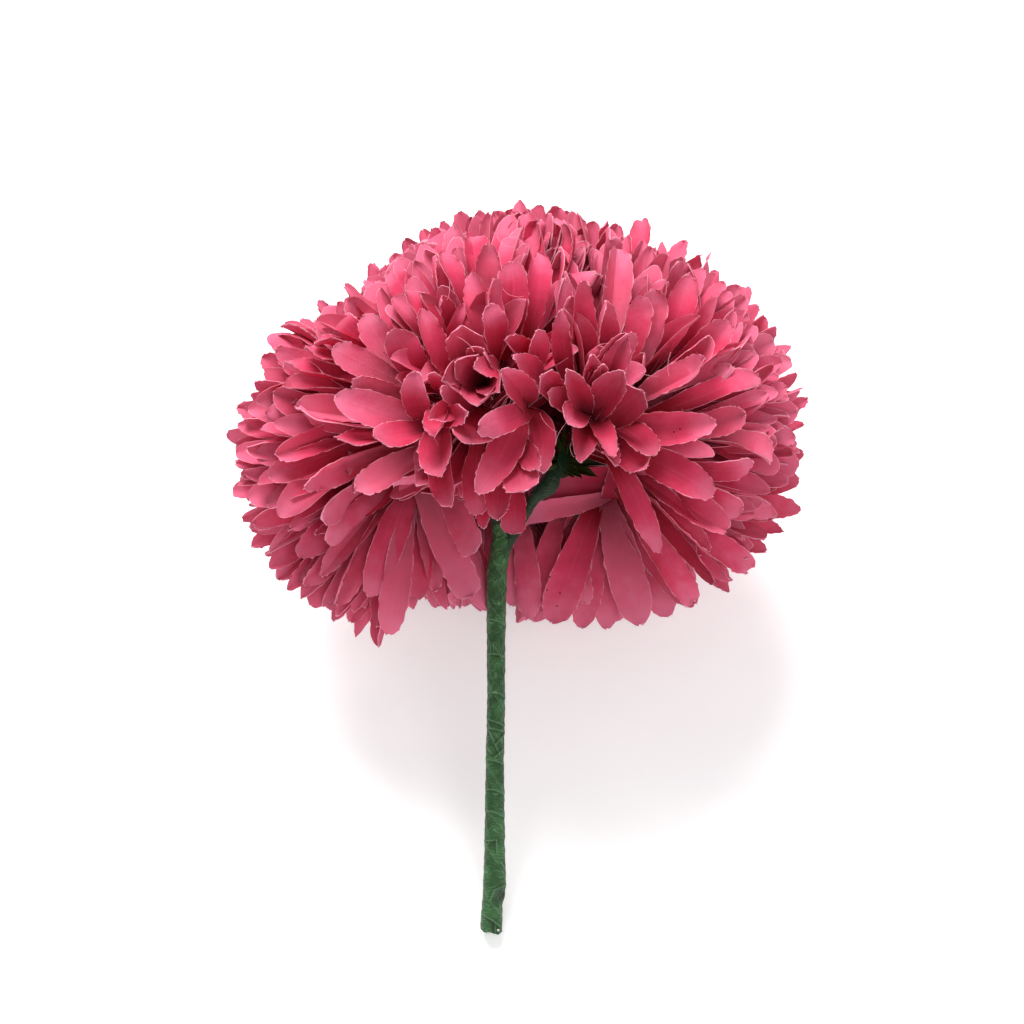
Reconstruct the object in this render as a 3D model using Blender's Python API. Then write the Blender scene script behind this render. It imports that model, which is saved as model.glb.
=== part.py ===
"""Artificial pompon chrysanthemum spray: six fabric heads on wire stalks, bound into one taped stem.

The spray is modelled in the pose of the photograph, with x to the right, y up along the stem and
z towards the viewer, and the fork of the stem at the origin. It is then laid down on its back.
Lengths are millimetres until a mesh is written in metres.
"""
import math
import random

import bmesh
import bpy
import numpy as np
from mathutils import Matrix, Vector
from mathutils.bvhtree import BVHTree

METRE = 0.001
GAP = 0.3

# The heads: where the calyx ends and the petals start, the way the head faces, the length of the
# column that its petals grow from, the middle and radius of the ball that their tips reach, how
# many petals would cover that ball, how far the last ones bend back and the sepals spread from the
# axis, in degrees, and the directions that stay open, each with its half angle.
HEADS = {
    "left": {
        "base": (-12.5, 10.5, 4.0), "axis": (-0.5, 0.35, -0.79), "column": 8,
        "middle": (-16.8, 12.8, 2.0), "radius": 33.6, "petals": 98,
        "last_angle": 126, "sepal_angle": 132, "open": (),
    },
    "right": {
        "base": (19.0, 7.5, -5.0), "axis": (0.3, 0.5, -0.81), "column": 9,
        "middle": (18.3, 17.0, -9.0), "radius": 37.6, "petals": 104,
        "last_angle": 128, "sepal_angle": 140, "open": (),
    },
    "front": {
        "base": (13.7, 11.7, 5.0), "axis": (0.16, 0.51, 0.85), "column": 9,
        "middle": (15.2, 16.5, 13.0), "radius": 29.5, "petals": 98,
        "last_angle": 116, "sepal_angle": 100, "open": (((0.0, -0.75, 0.65), 36),),
    },
    "crown": {
        "base": (0.2, 13.5, 8.0), "axis": (-0.14, 0.61, 0.78), "column": 8,
        "middle": (-0.4, 19.2, 13.0), "radius": 29.0, "petals": 94,
        "last_angle": 122, "sepal_angle": 132, "open": (((0.55, -0.7, 0.4), 36),),
    },
    "top": {
        "base": (2.6, 16.5, -5.5), "axis": (0.06, 0.99, -0.13), "column": 8,
        "middle": (1.8, 24.0, -5.0), "radius": 37.6, "petals": 112,
        "last_angle": 110, "sepal_angle": 132, "open": (),
    },
    "back": {
        "base": (-1.5, 8.5, -13.0), "axis": (0.1, 0.5, -0.86), "column": 9,
        "middle": (0.5, 16.5, -19.0), "radius": 32.0, "petals": 80,
        "last_angle": 120, "sepal_angle": 132, "open": (),
    },
}
SEED = 7
GOLDEN_ANGLE = math.pi * (3 - math.sqrt(5))
FIRST_ANGLE = math.radians(16)
ANGLE_SCATTER = math.radians(3.0)
ROLL_SCATTER = math.radians(9)
LENGTH_SCATTER = (0.93, 1.02)
BOW_RANGE = (-0.09, 0.05)

# Petals: the share of the full width at each station from the root, and across the tip
PETAL_WIDTH = 5.6
PETAL_THICKNESS = 0.7
PETAL_CUP = 0.24
PETAL_STATIONS = ((0.0, 0.28), (0.45, 0.74), (0.80, 1.0))
TIP_WIDTH = 0.42
ROOT_START = 2.4
ROOT_DEPTH = 3.6
LOWEST_ROOT = 1.6
CORE_RADIUS = 5.3
CORE_SIDES = 10
TRIES = 12
PRESSES = 8
PRESS = 0.07
SHORTENING = 0.08
CELL_MARGIN = 0.2

# The core under the petals: the share of its radius, and how far that ring lies from the end of
# its column, also as a share of the radius
CORE_FOOT = ((0.0, 0.0), (0.6, 0.1), (1.0, 0.6))
CORE_CROWN = ((1.0, 0.0), (0.6, 0.6), (0.0, 0.8))

# Calyx, measured down from the petals along the axis
CALYX_PROFILE = ((2.0, 5.0), (2.0, 4.4), (2.4, 3.2), (2.0, 2.0), (3.1, GAP))
CALYX_LENGTH = 5.0
SOCKET_RADIUS = 0.55
SOCKET_DEPTH = 2.0
CALYX_SIDES = 8
SEPALS = 5
SEPAL_ROOT = (1.7, 1.5)
SEPAL_LENGTH = 4.8
SEPAL_WIDTH = 2.0
SEPAL_THICKNESS = 0.7
SEPAL_CUP = 0.1
SEPAL_BOW = 0.04
SEPAL_STATIONS = ((0.0, 0.8), (0.5, 1.0))

# Stalks: a wire in a sleeve that starts where the stalks have spread apart
WIRE_RADIUS = 0.25
WIRE_SIDES = 5
WIRE_RING = 0.75
FIRST_WIRE = math.radians(-140)
WIRE_STICKS_OUT = 0.5
SLEEVE_RADIUS = 1.0
SLEEVE_BORE = 0.55
SLEEVE_SIDES = 6
STALK_POINTS = 10
STALK_STRAIGHT = 1.0

# Main stem from the fork to the cut end: place along y, centre in x and radius
STEM_LINE = (
    (1.0, 0.1, 1.62),
    (-9.1, -0.5, 1.50),
    (-20.0, -0.8, 1.58),
    (-31.0, -0.9, 1.52),
    (-39.0, -1.0, 1.74),
    (-50.0, -1.1, 1.83),
    (-61.0, -1.1, 1.86),
    (-66.5, -1.3, 2.05),
    (-70.0, -1.6, 1.85),
    (-73.6, -1.7, 1.92),
)
TAPE_THICKNESS = 0.35
STEM_SIDES = 10
END_LOBES = 0.10
LOBED_RINGS = 2

# How far the spray is turned about x to lie on its back
LAY_TILT = 26

# Edges that turn more than this stay sharp, the others are shaded smooth
SHARP_ANGLE = math.radians(40)

COLOURS = {
    "petals": ((0.45, 0.06, 0.10, 1), 0.85, 0.0),
    "calyx": ((0.03, 0.09, 0.03, 1), 0.45, 0.0),
    "sleeve": ((0.04, 0.11, 0.05, 1), 0.6, 0.0),
    "tape": ((0.055, 0.12, 0.055, 1), 0.8, 0.0),
    "wire": ((0.55, 0.55, 0.53, 1), 0.35, 1.0),
}


def material(kind):
    """The material of one kind of sub-part."""
    found = bpy.data.materials.get(kind)
    if found:
        return found
    made = bpy.data.materials.new(kind)
    made.use_nodes = True
    shader = made.node_tree.nodes["Principled BSDF"]
    colour, roughness, metallic = COLOURS[kind]
    shader.inputs["Base Color"].default_value = colour
    shader.inputs["Roughness"].default_value = roughness
    shader.inputs["Metallic"].default_value = metallic
    made.diffuse_color = colour
    return made


def add_solid(name, kind, points, faces, collection=None):
    """An object with the closed mesh that these points (mm) and faces make."""
    mesh = bpy.data.meshes.new(name)
    mesh.from_pydata([METRE * p for p in points], [], faces)
    shape = bmesh.new()
    shape.from_mesh(mesh)
    bmesh.ops.recalc_face_normals(shape, faces=shape.faces)
    shape.to_mesh(mesh)
    shape.free()
    mesh.materials.append(material(kind))
    solid = bpy.data.objects.new(name, mesh)
    (collection or bpy.context.scene.collection).objects.link(solid)
    return solid


def axis_of(head):
    return Vector(head["axis"]).normalized()


def frame_round(axis):
    """Two directions across an axis, so that the three are right-handed."""
    across = axis.orthogonal().normalized()
    return across, axis.cross(across)


def bezier(points, share):
    """A place on a cubic Bezier curve."""
    a, b, c, d = points
    rest = 1 - share
    return rest**3 * a + 3 * rest**2 * share * b + 3 * rest * share**2 * c + share**3 * d


def blade(root, tip, side, bow, sizes, stations):
    """A thin channelled blade from root to tip, closed, with sharp edges and two points at its tip.

    side lies across the blade. bow bends it: its middle moves by that share of its length towards
    its hollow face. sizes are its width, its thickness and how far its edges rise over the middle.
    """
    width, thickness, cup = sizes
    along = tip - root
    up = along.cross(side).normalized()
    side = up.cross(along).normalized()
    centre = root + along / 2 + up * (2 * bow * along.length)
    points = []
    for share, part in stations + ((1.0, TIP_WIDTH),):
        place = root * (1 - share) ** 2 + centre * 2 * share * (1 - share) + tip * share**2
        slope = (centre - root) * (1 - share) + (tip - centre) * share
        face = slope.cross(side).normalized()
        half = side * width / 2 * part
        lift = face * cup * width / 2 * part
        points.append(place - half + lift)
        if share < 1:
            points.append(place + face * thickness / 2)
            points.append(place + half + lift)
            points.append(place - face * thickness / 2)
        else:
            points.append(place + half + lift)
    faces = [(0, 1, 2), (0, 2, 3)]
    for first in range(0, 4 * len(stations) - 4, 4):
        left, top, right, under = range(first, first + 4)
        for edge in (left, right):
            for middle in (top, under):
                faces.append((edge, edge + 4, middle + 4))
                faces.append((edge, middle + 4, middle))
    left, top, right, under, tip_left, tip_right = range(len(points) - 6, len(points))
    for middle in (top, under):
        faces.append((left, middle, tip_left))
        faces.append((middle, tip_right, tip_left))
        faces.append((middle, right, tip_right))
    return points, faces


def turned(profile, origin, axis, sides):
    """The points and faces of a profile of (radius, height) turned about an axis.

    Its first and last rows lie on the axis, and close it.
    """
    across, up = frame_round(axis)
    points = [origin + axis * profile[0][1]]
    for radius, height in profile[1:-1]:
        for turn in range(sides):
            angle = math.tau * turn / sides
            out = math.cos(angle) * across + math.sin(angle) * up
            points.append(origin + axis * height + radius * out)
    points.append(origin + axis * profile[-1][1])
    last = len(points) - 1
    faces = []
    for turn in range(sides):
        after = (turn + 1) % sides
        faces.append((0, 1 + after, 1 + turn))
        faces.append((last, last - sides + turn, last - sides + after))
        for ring in range(1, last - sides, sides):
            faces.append((ring + turn, ring + after, ring + sides + after, ring + sides + turn))
    return points, faces


def tube(path, outer, inner, sides):
    """The points and faces of a round tube along a path, solid where inner is None.

    outer gives the radius at a step of the path and an angle round it, and inner is the bore.
    """
    across = Vector((0, 0, 1))
    outside, inside = [], []
    for step, place in enumerate(path):
        before, after = path[max(step - 1, 0)], path[min(step + 1, len(path) - 1)]
        slope = (after - before).normalized()
        across = (across - slope * across.dot(slope)).normalized()
        up = slope.cross(across)
        for turn in range(sides):
            angle = math.tau * turn / sides
            way = math.cos(angle) * across + math.sin(angle) * up
            outside.append(place + way * outer(step, angle))
            if inner:
                inside.append(place + way * inner(step, angle))
    points = outside + inside
    shift = len(outside)
    last = shift - sides
    faces = []
    for turn in range(sides):
        after = (turn + 1) % sides
        for ring in range(0, last, sides):
            faces.append((ring + turn, ring + after, ring + sides + after, ring + sides + turn))
            if inner:
                faces.append(tuple(shift + k for k in reversed(faces[-1])))
        if inner:
            faces.append((turn, shift + turn, shift + after, after))
            faces.append((last + turn, last + after, shift + last + after, shift + last + turn))
    if not inner:
        faces.append(tuple(reversed(range(sides))))
        faces.append(tuple(range(last, last + sides)))
    return points, faces


def keep_outside(solid):
    """Fills the hollows that fusing sealed, and drops loose scraps: only the largest island stays."""
    shape = bmesh.new()
    shape.from_mesh(solid.data)
    islands, left = [], set(shape.verts)
    while left:
        found = [left.pop()]
        for vert in found:
            beside = {edge.other_vert(vert) for edge in vert.link_edges} & left
            left -= beside
            found.extend(beside)
        islands.append(found)
    islands.sort(key=len)
    loose = [vert for island in islands[:-1] for vert in island]
    bmesh.ops.delete(shape, geom=loose, context="VERTS")
    shape.to_mesh(solid.data)
    shape.free()


def fuse(name, kind, body, pieces):
    """One closed solid from a body and the pieces that are rooted in it."""
    solid = add_solid(name, kind, *body)
    loose = bpy.data.collections.new(name + "_pieces")
    bpy.context.scene.collection.children.link(loose)
    for piece in pieces:
        add_solid(name + "_piece", kind, *piece, collection=loose)
    union = solid.modifiers.new("union", "BOOLEAN")
    union.operation = "UNION"
    union.operand_type = "COLLECTION"
    union.collection = loose
    union.solver = "MANIFOLD"
    with bpy.context.temp_override(object=solid, active_object=solid, selected_objects=[solid]):
        bpy.ops.object.modifier_apply(modifier=union.name)
    for piece in list(loose.objects):
        bpy.data.objects.remove(piece)
    bpy.data.collections.remove(loose)
    keep_outside(solid)
    return solid


def stem_place(height):
    """The middle of the main stem at a place along y, between the measured ones."""
    for (top, x_top, _), (low, x_low, _) in zip(STEM_LINE, STEM_LINE[1:]):
        if height >= low:
            share = (top - height) / (top - low)
            return Vector((x_top + (x_low - x_top) * share, height, 0))
    return Vector((STEM_LINE[-1][1], height, 0))


def stalk_paths():
    """For each head its wire inside the stem, and the curve from the fork to the calyx."""
    ends = {}
    for name, head in HEADS.items():
        ends[name] = Vector(head["base"]) - axis_of(head) * (CALYX_LENGTH + GAP + STALK_STRAIGHT)
    order = sorted(HEADS, key=lambda name: math.atan2(ends[name].z, ends[name].x))
    paths = {}
    for place, name in enumerate(order):
        angle = math.tau * place / len(order) + FIRST_WIRE
        offset = WIRE_RING * Vector((math.cos(angle), 0, math.sin(angle)))
        fork = stem_place(STEM_LINE[0][0]) + offset
        end = ends[name]
        reach = (end - fork).length / 3
        spread = (fork + Vector((0, reach, 0)), end - axis_of(HEADS[name]) * reach / 2)
        free = [bezier((fork, *spread, end), k / STALK_POINTS) for k in range(STALK_POINTS + 1)]
        cut = STEM_LINE[-1][0] - WIRE_STICKS_OUT
        bound = [stem_place(height) + offset for height in [row[0] for row in STEM_LINE[1:-1]]]
        bound.append(stem_place(cut) + offset)
        paths[name] = (bound, free)
    return paths


def nearest(point, path):
    return min((point - other).length for other in path)


def sleeve_starts(paths):
    """How many points of each stalk pass before its sleeve clears the other stalks."""
    clear = 2 * SLEEVE_RADIUS + GAP
    starts = {}
    for name, (_, free) in paths.items():
        others = [p for other, (_, way) in paths.items() if other != name for p in way]
        first = 1
        while first < STALK_POINTS - 2 and nearest(free[first], others) < clear:
            first += 1
        starts[name] = first
    return starts


def sepals_of(head):
    """The root, tip and side of each sepal."""
    axis, base = axis_of(head), Vector(head["base"])
    across, up = frame_round(axis)
    angle = math.radians(head["sepal_angle"])
    radius, depth = SEPAL_ROOT
    for turn in range(SEPALS):
        around = math.tau * (turn + 0.5) / SEPALS
        out = math.cos(around) * across + math.sin(around) * up
        side = axis.cross(out)
        root = base - axis * depth + out * radius
        yield root, root + SEPAL_LENGTH * (math.sin(angle) * out + math.cos(angle) * axis), side


def build_calyx(name, head):
    axis, base = axis_of(head), Vector(head["base"])
    floor = CALYX_LENGTH - SOCKET_DEPTH
    profile = [(0, -floor), (SOCKET_RADIUS, -floor), (SOCKET_RADIUS, -CALYX_LENGTH)]
    profile += [(radius, -depth) for radius, depth in CALYX_PROFILE]
    profile.append((0, -GAP))
    sizes = (SEPAL_WIDTH, SEPAL_THICKNESS, SEPAL_CUP)
    sepals = [blade(*sepal, SEPAL_BOW, sizes, SEPAL_STATIONS) for sepal in sepals_of(head)]
    return fuse("calyx_" + name, "calyx", turned(profile, base, axis, CALYX_SIDES), sepals)


def keep_clear(paths):
    """Capsules (head, start, end, radius) round all that the petals of other heads keep clear of."""
    capsules = []
    for name, head in HEADS.items():
        axis, base = axis_of(head), Vector(head["base"])
        neck, rim = CALYX_PROFILE[2][0], CALYX_PROFILE[-1][0]
        capsules.append(("", base - axis * CALYX_LENGTH, base - axis * neck, neck))
        capsules.append(("", base - axis * (rim / 2), base - axis * (rim / 2 - GAP), rim - GAP))
        for root, tip, _ in sepals_of(head):
            capsules.append(("", root, tip, SEPAL_WIDTH / 2))
        capsules.append((name, base + axis, base + axis * head["column"], CORE_RADIUS))
        free = paths[name][1]
        for step in range(STALK_POINTS):
            capsules.append(("", free[step], free[step + 1], SLEEVE_RADIUS))
    for (top, _, upper), (low, _, lower) in zip(STEM_LINE, STEM_LINE[1:]):
        capsules.append(("", stem_place(top), stem_place(low), max(upper, lower)))
    return capsules


def floor_plane():
    """The surface that the spray lies on, as (normal, distance) in the pose of the photograph."""
    tilt = math.radians(LAY_TILT)
    normal = Vector((0, -math.sin(tilt), -math.cos(tilt)))
    height, centre, radius = STEM_LINE[-1]
    return normal, normal.dot(Vector((centre, height, 0))) + radius * math.cos(tilt)


def heart_of(head):
    """The middle of the column that a head's petals grow from."""
    return Vector(head["base"]) + axis_of(head) * head["column"] / 2


def cell_of(name):
    """The floor, and the planes (normal, distance) half-way from this head's heart to each other's."""
    mine = heart_of(HEADS[name])
    planes = [floor_plane()]
    for other, head in HEADS.items():
        if other != name:
            apart = heart_of(head) - mine
            normal = apart.normalized()
            planes.append((normal, normal.dot(mine + apart / 2)))
    return planes


def crossed(points, planes):
    """The sum of the normals of the planes that a petal crosses, or None if it crosses none."""
    over = [n for n, distance in planes if any(n.dot(p) > distance - CELL_MARGIN for p in points)]
    return sum(over, Vector()) if over else None


def is_clear(points, capsules):
    """True if a petal keeps off every capsule."""
    starts, ways, squares, radii = capsules
    middles = [(points[k] + points[k + 4]) / 2 for k in range(len(points) - 6)]
    spots = np.array([tuple(p) for p in points + middles])
    apart = spots[:, None, :] - starts[None, :, :]
    shares = np.clip((apart * ways[None]).sum(2) / squares, 0, 1)
    reach = np.linalg.norm(apart - shares[:, :, None] * ways[None], axis=2)
    return bool((reach > radii + GAP).all())


def reach_to_ball(root, way, middle, radius):
    """How far it is from a root to the ball of tips."""
    inward = (middle - root).dot(way)
    return inward + math.sqrt(inward**2 - (root - middle).length_squared + radius**2)


def petals_of(name, capsules):
    """The blades of one head, by a golden-angle spiral from the top of the ball to its underside.

    A petal that would cross into the cell of another head is pressed back, and then shortened.
    """
    head = HEADS[name]
    axis, base, middle = axis_of(head), Vector(head["base"]), Vector(head["middle"])
    across, up = frame_round(axis)
    last_angle = math.radians(head["last_angle"])
    planes = cell_of(name)
    others = [c for c in capsules if c[0] != name]
    starts = np.array([tuple(c[1]) for c in others])
    ways = np.array([tuple(c[2] - c[1]) for c in others])
    capsules = (starts, ways, (ways**2).sum(1), np.array([c[3] for c in others]))
    draw = random.Random(SEED + list(HEADS).index(name))
    sizes = (PETAL_WIDTH, PETAL_THICKNESS, PETAL_CUP)
    blades, placed = [], []
    for count in range(head["petals"]):
        share = (count + 0.5) / head["petals"]
        angle = math.acos(math.cos(FIRST_ANGLE) * (1 - share) + math.cos(last_angle) * share)
        turn = count * GOLDEN_ANGLE + draw.uniform(-1, 1) * ANGLE_SCATTER
        angle += draw.uniform(-1, 1) * ANGLE_SCATTER
        roll = draw.gauss(0, 1) * ROLL_SCATTER
        bow = draw.uniform(*BOW_RANGE)
        radius = head["radius"] * draw.uniform(*LENGTH_SCATTER)
        out = math.cos(turn) * across + math.sin(turn) * up
        way = math.sin(angle) * out + math.cos(angle) * axis
        if any(way.angle(Vector(hole)) < math.radians(half) for hole, half in head["open"]):
            continue
        rise = (last_angle - angle) / (last_angle - FIRST_ANGLE)
        foot = base + axis * (LOWEST_ROOT + (head["column"] - LOWEST_ROOT) * rise)
        across_petal = Matrix.Rotation(roll, 3, way) @ axis.cross(out)
        for attempt in range(TRIES):
            root = foot + way * ROOT_START
            short = 1 - SHORTENING * max(0, attempt - TRIES // 2)
            tip = root + way * reach_to_ball(root, way, middle, radius) * short
            made = blade(root, tip, across_petal, bow, sizes, PETAL_STATIONS)
            over = crossed(made[0], planes)
            if over is None and is_clear(made[0], capsules):
                outer_root = root + way * ROOT_DEPTH
                outer = blade(outer_root, tip, across_petal, bow, sizes, PETAL_STATIONS)
                free = BVHTree.FromPolygons(*outer)
                if not any(free.overlap(other) for other in placed):
                    placed.append(free)
                    blades.append(made)
                    break
            if over is not None and attempt < PRESSES:
                way = (way - over * PRESS).normalized()
    return blades


def build_petals(name, capsules):
    head = HEADS[name]
    profile = [(CORE_RADIUS * wide, CORE_RADIUS * high) for wide, high in CORE_FOOT]
    profile += [(CORE_RADIUS * wide, head["column"] + CORE_RADIUS * high) for wide, high in CORE_CROWN]
    core = turned(profile, Vector(head["base"]), axis_of(head), CORE_SIDES)
    fuse("petals_" + name, "petals", core, petals_of(name, capsules))


def build_stalk(name, path, start):
    bound, free = path
    axis = axis_of(HEADS[name])
    seat = free[-1] + axis * (STALK_STRAIGHT + SOCKET_DEPTH)
    whole = list(reversed(bound)) + free + [seat]
    add_solid("wire_" + name, "wire", *tube(whole, lambda step, angle: WIRE_RADIUS, None, WIRE_SIDES))
    covered = free[start:] + [free[-1] + axis * STALK_STRAIGHT]
    outer, bore = (lambda step, angle: SLEEVE_RADIUS), (lambda step, angle: SLEEVE_BORE)
    add_solid("sleeve_" + name, "sleeve", *tube(covered, outer, bore, SLEEVE_SIDES))


def build_tape():
    """The floral tape round the bundled wires, two-lobed at the cut end."""
    path = [Vector((x, y, 0)) for y, x, _ in reversed(STEM_LINE)]
    radii = [radius for _, _, radius in reversed(STEM_LINE)]

    def outer(step, angle):
        lobes = END_LOBES if step < LOBED_RINGS else 0
        return radii[step] * (1 - lobes * math.cos(2 * angle))

    def bore(step, angle):
        return outer(step, angle) - TAPE_THICKNESS

    add_solid("stem_tape", "tape", *tube(path, outer, bore, STEM_SIDES))


def shade(solid):
    solid.data.shade_smooth()
    solid.data.set_sharp_from_angle(angle=SHARP_ANGLE)


def lay_down():
    """Turns the whole spray onto its back and sets it on the floor, over the origin."""
    holder = bpy.data.objects.new("spray", None)
    bpy.context.scene.collection.objects.link(holder)
    turn = Matrix.Rotation(math.radians(LAY_TILT), 4, "X")
    solids = [o for o in bpy.context.scene.objects if o.type == "MESH"]
    corners = np.array([tuple(turn @ v.co) for o in solids for v in o.data.vertices])
    low, high = corners.min(0), corners.max(0)
    for solid in solids:
        shade(solid)
        solid.parent = holder
    middle = (low + high) / 2
    holder.matrix_world = Matrix.Translation((-middle[0], -middle[1], -low[2])) @ turn


def main():
    for old in list(bpy.data.objects):
        bpy.data.objects.remove(old)
    paths = stalk_paths()
    starts = sleeve_starts(paths)
    capsules = keep_clear(paths)
    build_tape()
    for name, head in HEADS.items():
        build_stalk(name, paths[name], starts[name])
        build_calyx(name, head)
        build_petals(name, capsules)
    lay_down()


main()
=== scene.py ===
# Artificial pompon chrysanthemum spray: the looks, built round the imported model.
# Shapes are worked out in millimetres as the photograph stands (x right, y up along the stem,
# z towards the viewer, the stem's fork at the origin) and then laid down with the model.
import math
import random

import bpy
import numpy as np
from mathutils import Matrix, Vector


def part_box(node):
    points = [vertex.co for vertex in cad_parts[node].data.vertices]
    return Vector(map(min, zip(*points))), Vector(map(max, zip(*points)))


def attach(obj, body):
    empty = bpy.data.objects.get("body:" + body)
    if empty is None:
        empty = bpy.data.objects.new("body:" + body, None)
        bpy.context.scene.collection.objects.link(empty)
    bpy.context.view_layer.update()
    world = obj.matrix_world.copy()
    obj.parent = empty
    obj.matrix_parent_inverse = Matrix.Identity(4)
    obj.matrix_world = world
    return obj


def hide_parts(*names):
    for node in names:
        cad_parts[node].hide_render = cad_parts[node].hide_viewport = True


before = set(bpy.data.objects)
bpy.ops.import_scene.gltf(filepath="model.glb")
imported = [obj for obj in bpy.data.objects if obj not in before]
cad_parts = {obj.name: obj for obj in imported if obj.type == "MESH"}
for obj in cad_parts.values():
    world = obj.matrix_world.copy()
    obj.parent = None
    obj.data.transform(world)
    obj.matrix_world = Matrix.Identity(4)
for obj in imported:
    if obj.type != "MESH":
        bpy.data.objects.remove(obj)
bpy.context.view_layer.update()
print("frame loaded:", len(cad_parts), "nodes")

mm = 0.001
pose = {
    "layTilt": 26,  # degrees that the spray is tipped back
    "forkFromTapeCorner": (3.673, 66.909, 33.817),  # mm from the tape's lowest corner
    "pixel": 0.183,  # mm of the spray that one pixel shows
    "middlePixel": 512,
}
tapeCorner = np.array(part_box("stem_tape")[0])
forkPlace = tapeCorner + np.array(pose["forkFromTapeCorner"]) * mm
layDown = np.array(Matrix.Rotation(math.radians(pose["layTilt"]), 3, "X"))
goldenAngle = math.pi * (3 - math.sqrt(5))
crispAngle = 75  # degrees: cut edges turn more and stay crisp
studio = {
    "centre": (2.2, 3.3, 0.0),  # mm, where the middle of the photograph looks
    "viewWidth": 187.4,
    "distance": 1000.0,
    "sensor": 36,
    "clip": (0.05, 20),  # m
    "floorSize": 6.0,  # m
    "floorGap": 0.0002,
    "floorGlow": 0.32,  # as in a light tent, to pale the shadow
    "worldLight": 0.42,
}


def toWorld(points):
    return forkPlace + (np.asarray(points, float) @ layDown.T) * mm


def pressedOnFloor(points, soft=0.6 * mm):  # what would sink below the floor lies flat on it
    low = points[:, 2] < soft
    points[low, 2] = soft * np.exp((points[low, 2] - soft) / soft)
    return points


def fromPixel(x, y, depth=0.0):  # where a pixel of the photograph lies at a depth
    scale = pose["pixel"] * (1 - depth / studio["distance"])
    middle = studio["centre"]
    half = pose["middlePixel"]
    return np.array((middle[0] + (x - half) * scale, middle[1] + (half - y) * scale, depth))


def pixelOf(place):  # the pixel that shows a place
    scale = pose["pixel"] * (1 - place[2] / studio["distance"])
    middle, half = studio["centre"], pose["middlePixel"]
    return half + (place[0] - middle[0]) / scale, half - (place[1] - middle[1]) / scale


def unit(vector):
    vector = np.asarray(vector, float)
    return vector / np.linalg.norm(vector, axis=-1, keepdims=True)


def smooth(low, high, value):
    share = np.clip((value - low) / (high - low), 0, 1)
    return share * share * (3 - 2 * share)


def turned(vector, angle, axis):
    return np.array(Matrix.Rotation(angle, 3, Vector(axis)) @ Vector(vector))


def degreesBetween(first, second):
    return math.degrees(math.acos(np.clip(first @ second, -1, 1)))


def squareTo(axis):  # two directions square to an axis
    first = np.array(Vector(axis).orthogonal().normalized())
    return first, np.cross(axis, first)


def bezier(a, b, c, d, share):
    rest = 1 - share
    return rest**3 * a + 3 * rest**2 * share * b + 3 * rest * share**2 * c + share**3 * d


def deselectAll():
    if bpy.context.object and bpy.context.object.mode != "OBJECT":
        bpy.ops.object.mode_set(mode="OBJECT")
    bpy.ops.object.select_all(action="DESELECT")


def selectOnly(*pieces):  # the last of them is made active
    deselectAll()
    for piece in pieces:
        piece.select_set(True)
    bpy.context.view_layer.objects.active = pieces[-1]


def applyModifiers(piece):
    selectOnly(piece)
    for modifier in list(piece.modifiers):
        bpy.ops.object.modifier_apply(modifier=modifier.name)


def coordinatesOf(piece):
    points = np.empty(len(piece.data.vertices) * 3)
    piece.data.vertices.foreach_get("co", points)
    return points.reshape(-1, 3)


def placeVertices(piece, points):
    piece.data.vertices.foreach_set("co", np.asarray(points, float).ravel())
    piece.data.update()


def addAttribute(piece, name, values):
    kept = piece.data.attributes.new(name, "FLOAT", "POINT")
    kept.data.foreach_set("value", np.asarray(values, np.float32).ravel())


def addToScene(name, data):
    added = bpy.data.objects.new(name, data)
    bpy.context.scene.collection.objects.link(added)
    return added


def meshPiece(name, points, faces):
    mesh = bpy.data.meshes.new(name)
    mesh.from_pydata(np.asarray(points).tolist(), [], faces)
    return addToScene(name, mesh)


def copiedFaces(faces, pointCount, copies, first=0):  # of a form that comes several times in one mesh
    return [tuple(corner + first + number * pointCount for corner in face)
            for number in range(copies) for face in faces]


def faceOutward(piece):
    selectOnly(piece)
    bpy.ops.object.mode_set(mode="EDIT")
    bpy.ops.mesh.select_all(action="SELECT")
    bpy.ops.mesh.normals_make_consistent(inside=False)
    bpy.ops.object.mode_set(mode="OBJECT")


def closeEnds(tube):
    selectOnly(tube)
    bpy.ops.object.mode_set(mode="EDIT")
    bpy.ops.mesh.select_all(action="DESELECT")
    bpy.ops.mesh.select_non_manifold()
    bpy.ops.mesh.edge_face_add()
    bpy.ops.object.mode_set(mode="OBJECT")
    faceOutward(tube)


def finishPiece(piece, material, slotName, *nodes):
    piece.data.materials.append(materials[material])
    selectOnly(piece)
    bpy.ops.object.shade_smooth_by_angle(angle=math.radians(crispAngle))
    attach(piece, "root")
    if nodes:
        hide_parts(*nodes)
    return piece


# Shader maths

class shaderValue:  # a socket that can stand in a sum
    def __init__(self, paint, socket):
        self.paint = paint
        self.socket = socket

    def sum(self, operation, *values):
        return self.paint.node("ShaderNodeMath", {"operation": operation}, values)

    def __add__(self, other):
        return self.sum("ADD", self, other)

    def __sub__(self, other):
        return self.sum("SUBTRACT", self, other)

    def __rsub__(self, other):
        return self.sum("SUBTRACT", other, self)

    def __mul__(self, other):
        return self.sum("MULTIPLY", self, other)

    def __abs__(self):
        return self.sum("ABSOLUTE", self)

    __radd__ = __add__
    __rmul__ = __mul__


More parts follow.
